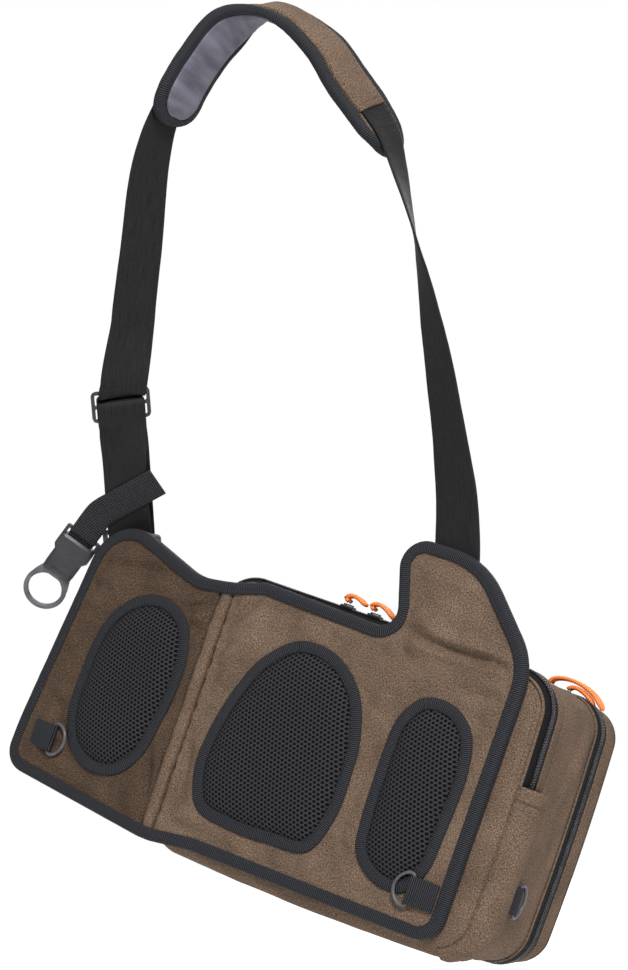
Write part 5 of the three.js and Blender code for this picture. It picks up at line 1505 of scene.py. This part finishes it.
def accessory():
    """A flat moulded ring with rounded rims, flaring into the stem that clicks into the socket."""
    radius, bar, stem, rim = 19, 4, 5, 1.2
    ring_x = BUCKLE_LENGTH + radius - 1
    bm = bmesh.new()
    middle = radius - bar / 2
    wide, tall = bar / 2 - rim, stem / 2 - rim
    outline = []
    for cx, cz, start in ((wide, tall, 0), (-wide, tall, 90), (-wide, -tall, 180), (wide, -tall, 270)):
        for a in (0, 30, 60, 90):
            t = radians(start + a)
            outline.append(bm.verts.new((middle + cx + rim * cos(t), 0, cz + rim * sin(t))))
    edges = [bm.edges.new((outline[i], outline[(i + 1) % len(outline)])) for i in range(len(outline))]
    bmesh.ops.spin(bm, geom=edges, cent=(0, 0, 0), axis=(0, 0, 1), angle=2 * pi, steps=96, use_merge=True)
    bmesh.ops.remove_doubles(bm, verts=bm.verts, dist=1e-4)
    bmesh.ops.transform(bm, matrix=Matrix.Translation((ring_x, 0, 0)), verts=bm.verts)
    bmesh.ops.transform(bm, matrix=Matrix.Scale(MM, 4) @ AT_BAR, verts=bm.verts)
    bmesh.ops.recalc_face_normals(bm, faces=bm.faces)
    rounded_block(bm, (BUCKLE_LENGTH - 12, -10, -2.4), (BUCKLE_LENGTH + 4.2, 10, 2.4), 1.0, AT_BAR)
    hole = radius - bar
    for side in (-1, 1):
        inner = [(ring_x - hole * cos(radians(a)), side * hole * sin(radians(a))) for a in (72, 58, 44, 30, 12)]
        outer = [(BUCKLE_LENGTH - 3, side * 6), (BUCKLE_LENGTH - 3, side * 12.5), (BUCKLE_LENGTH + 4, side * 15.5),
                 (BUCKLE_LENGTH + 10, side * 17.6)]
        rounded_outline(bm, [*outer, *inner], -2.3, 2.3, 0.5, AT_BAR)
    piece("accessory_loop", bm, GREY_ACETAL, replaces=["accessory_ring"], crease=35)


def buckle_web_fold():
    """The thick of the webbing's turn, which fills the socket's slot beyond the bar."""
    bm = bmesh.new()
    rounded_block(bm, (web_wrap + 0.75, -12.3, -1.8), (web_wrap + 3.3, 12.3, 1.6), 1.1, AT_BAR)
    threads_along(piece("buckle_web_fold", bm, COARSE), AT_BAR)


buckle_webbing()
buckle_web_fold()
dressed("buckle_body", "buckle_socket", ACETAL, bevel=0.7, segments=3)
buckle_details()
accessory()

# D-rings in their webbing tabs
RING_WIDTH, RING_REACH, RING_WIRE = 31, 16, 2.8
RING_RISE = GAP + 2.4 + GAP + RING_WIRE / 2


def d_ring(name, seat, length):
    """A wire ring about its bar, which lies in the tab at a length from the seat's seam."""
    radius = (RING_WIDTH - RING_WIRE) / 2
    reach = RING_REACH - RING_WIRE / 2
    arc = [(reach * cos(radians(a)), 0, radius * sin(radians(a))) for a in np.linspace(-70, 70, 12)]
    bar = [(0, 0, z) for z in (12, 11.5, 10, 5, 0, -5, -10, -11.5, -12)]
    back = [(radius * 0.1, 0, radius * 0.93), *bar, (radius * 0.1, 0, -radius * 0.93)]
    loop = [*arc, *back]
    middle = smooth_line([*loop[-3:], *loop, *loop[:4]], 1.1)
    start = next(i for i, p in enumerate(middle) if np.linalg.norm(p - np.array(loop[0])) < 0.7)
    end = next(i for i in range(start + 20, len(middle)) if np.linalg.norm(middle[i] - middle[start]) < 0.9)
    ring = middle[start:end]
    place = seat @ Matrix.Translation((length, RING_RISE, 0))
    up = Vector((0, 1, 0))
    rows = []
    for i in range(len(ring)):
        here = Vector(ring[i])
        along = (Vector(ring[(i + 1) % len(ring)]) - Vector(ring[i - 1])).normalized()
        side = along.cross(up).normalized()
        rows.append([place @ (here + (side * cos(a) + up * sin(a)) * RING_WIRE / 2) for a in ring_angles(14)])
    rows.append(rows[0])
    laid(f"ring_{name}", rows, WIRE, f"{name}_d_ring", [f"d_ring_{name}"])
    dressed(f"tab_{name}", f"ring_tab_{name}", TAPE, bevel=0.25, place=seat)


def seat_frame(origin, along, out):
    """A tab's frame on the bag: X along the tab, Y out of the cloth."""
    made = Matrix((along, out, along.cross(out))).transposed().to_4x4()
    made.translation = origin
    return BAG @ made


wing_seam = FOLD_X - WING_REACH + BINDING_WIDTH + 11
wing_along = Vector((cos(WING_BEND), -sin(WING_BEND), 0))
wing_out = Vector((-sin(WING_BEND), -cos(WING_BEND), 0))
left_seat = seat_frame(bend(wing_seam, 0, -66), wing_along, wing_out)
right_origin = Vector((PANEL_RIGHT - BINDING_WIDTH - 2 * GAP, 0, -75))
right_seat = seat_frame(right_origin, Vector((-1, 0, 0)), Vector((0, -1, 0)))
side_y = REAR_MOUTH + 2
side_origin = BAG.inverted() @ wall(wall_step(-58, side_y), side_y, GAP)
side_seat = seat_frame(side_origin, Vector((0, 1, 0)), Vector((1, 0, 0)))
d_ring("left", left_seat, 24)
d_ring("right", right_seat, 22)
d_ring("side", side_seat, 10)

# Zip runners: a small cast body with a bridge for its cord
rear_rise, main_rise = GAP + 1.6, 0
RUNNERS = [
    ("rear_left", -44, rear_zip_y, rear_rise),
    ("rear_right", -18, rear_zip_y, rear_rise),
    ("main_left", 98, zip_middle, main_rise),
    ("main_right", 113, zip_middle, main_rise),
]
RUNNER_BLOCKS = [
    ((-6, -4, 0.5), (6, 4, 2.9), 0.9),
    ((-4.6, -1.1, 2.4), (-3.2, 1.1, 4.1), 0.45),
    ((3.2, -1.1, 2.4), (4.6, 1.1, 4.1), 0.45),
    ((-4.6, -1.1, 3.1), (4.6, 1.1, 4.2), 0.45),
]
for name, x, y, rise in RUNNERS:
    place = BAG.copy()
    place.translation = wall(top_step(x, y), y, rise)
    bm = bmesh.new()
    for low, high, bevel in RUNNER_BLOCKS:
        rounded_block(bm, low, high, bevel, place)
    piece(f"runner_{name}", bm, ACETAL, replaces=[f"zip_slider_{name}"], crease=40)


# Floor and soft studio light: a large soft key by the camera, a softer one from above, weak fills
def studio():
    floor, tree, surface = new_finish("painted studio floor", Roughness=0.9)
    place = node(tree, "TexCoord", {}, "Object")
    clouds = node(tree, "TexNoise", {"Vector": place, "Scale": 1.5})
    colour = node(tree, "ValToRGB", {"Fac": clouds}, stops=[(0.3, "#f4f4f4"), (0.7, "#fbfbfb")])
    tree.links.new(colour, surface.inputs["Base Color"])
    bm = bmesh.new()
    bmesh.ops.create_circle(bm, cap_ends=True, segments=96, radius=2.5)
    bmesh.ops.translate(bm, vec=(0, 0, cad_low[2] - 0.25), verts=bm.verts)
    mesh = bpy.data.meshes.new("floor")
    bm.to_mesh(mesh)
    bm.free()
    mesh.materials.append(floor)
    obj = bpy.data.objects.new("floor", mesh)
    scene.collection.objects.link(obj)
    obj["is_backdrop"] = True
    world = bpy.data.worlds.new("studio")
    world.use_nodes = True
    sky = world.node_tree
    seen = node(sky, "LightPath", {}, "Is Camera Ray")
    strength = node(sky, "MapRange", {"Value": seen, "To Min": 0.4, "To Max": 1.0})
    background = sky.nodes["Background"]
    sky.links.new(strength, background.inputs["Strength"])
    background.inputs["Color"].default_value = (1, 1, 1, 1)
    scene.world = world
    target = Vector((0, 0, -0.45))
    for name, at, size, power in (
        ("key light", (1.7, -2.1, 1.7), 0.9, 165),
        ("top light", (0.2, 0.3, 1.9), 1.6, 30),
        ("right fill", (2.8, -0.9, 0.0), 1.6, 10),
        ("left fill", (-2.6, -1.6, -0.1), 1.4, 12),
        ("back light", (-0.8, 2.6, 0.8), 1.8, 45),
    ):
        data = bpy.data.lights.new(name, "AREA")
        data.energy = power
        data.size = size
        light = bpy.data.objects.new(name, data)
        light.location = at
        light.rotation_euler = (target - Vector(at)).to_track_quat("-Z", "Y").to_euler()
        scene.collection.objects.link(light)


studio()
scene.view_settings.view_transform = "Standard"

low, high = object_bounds()
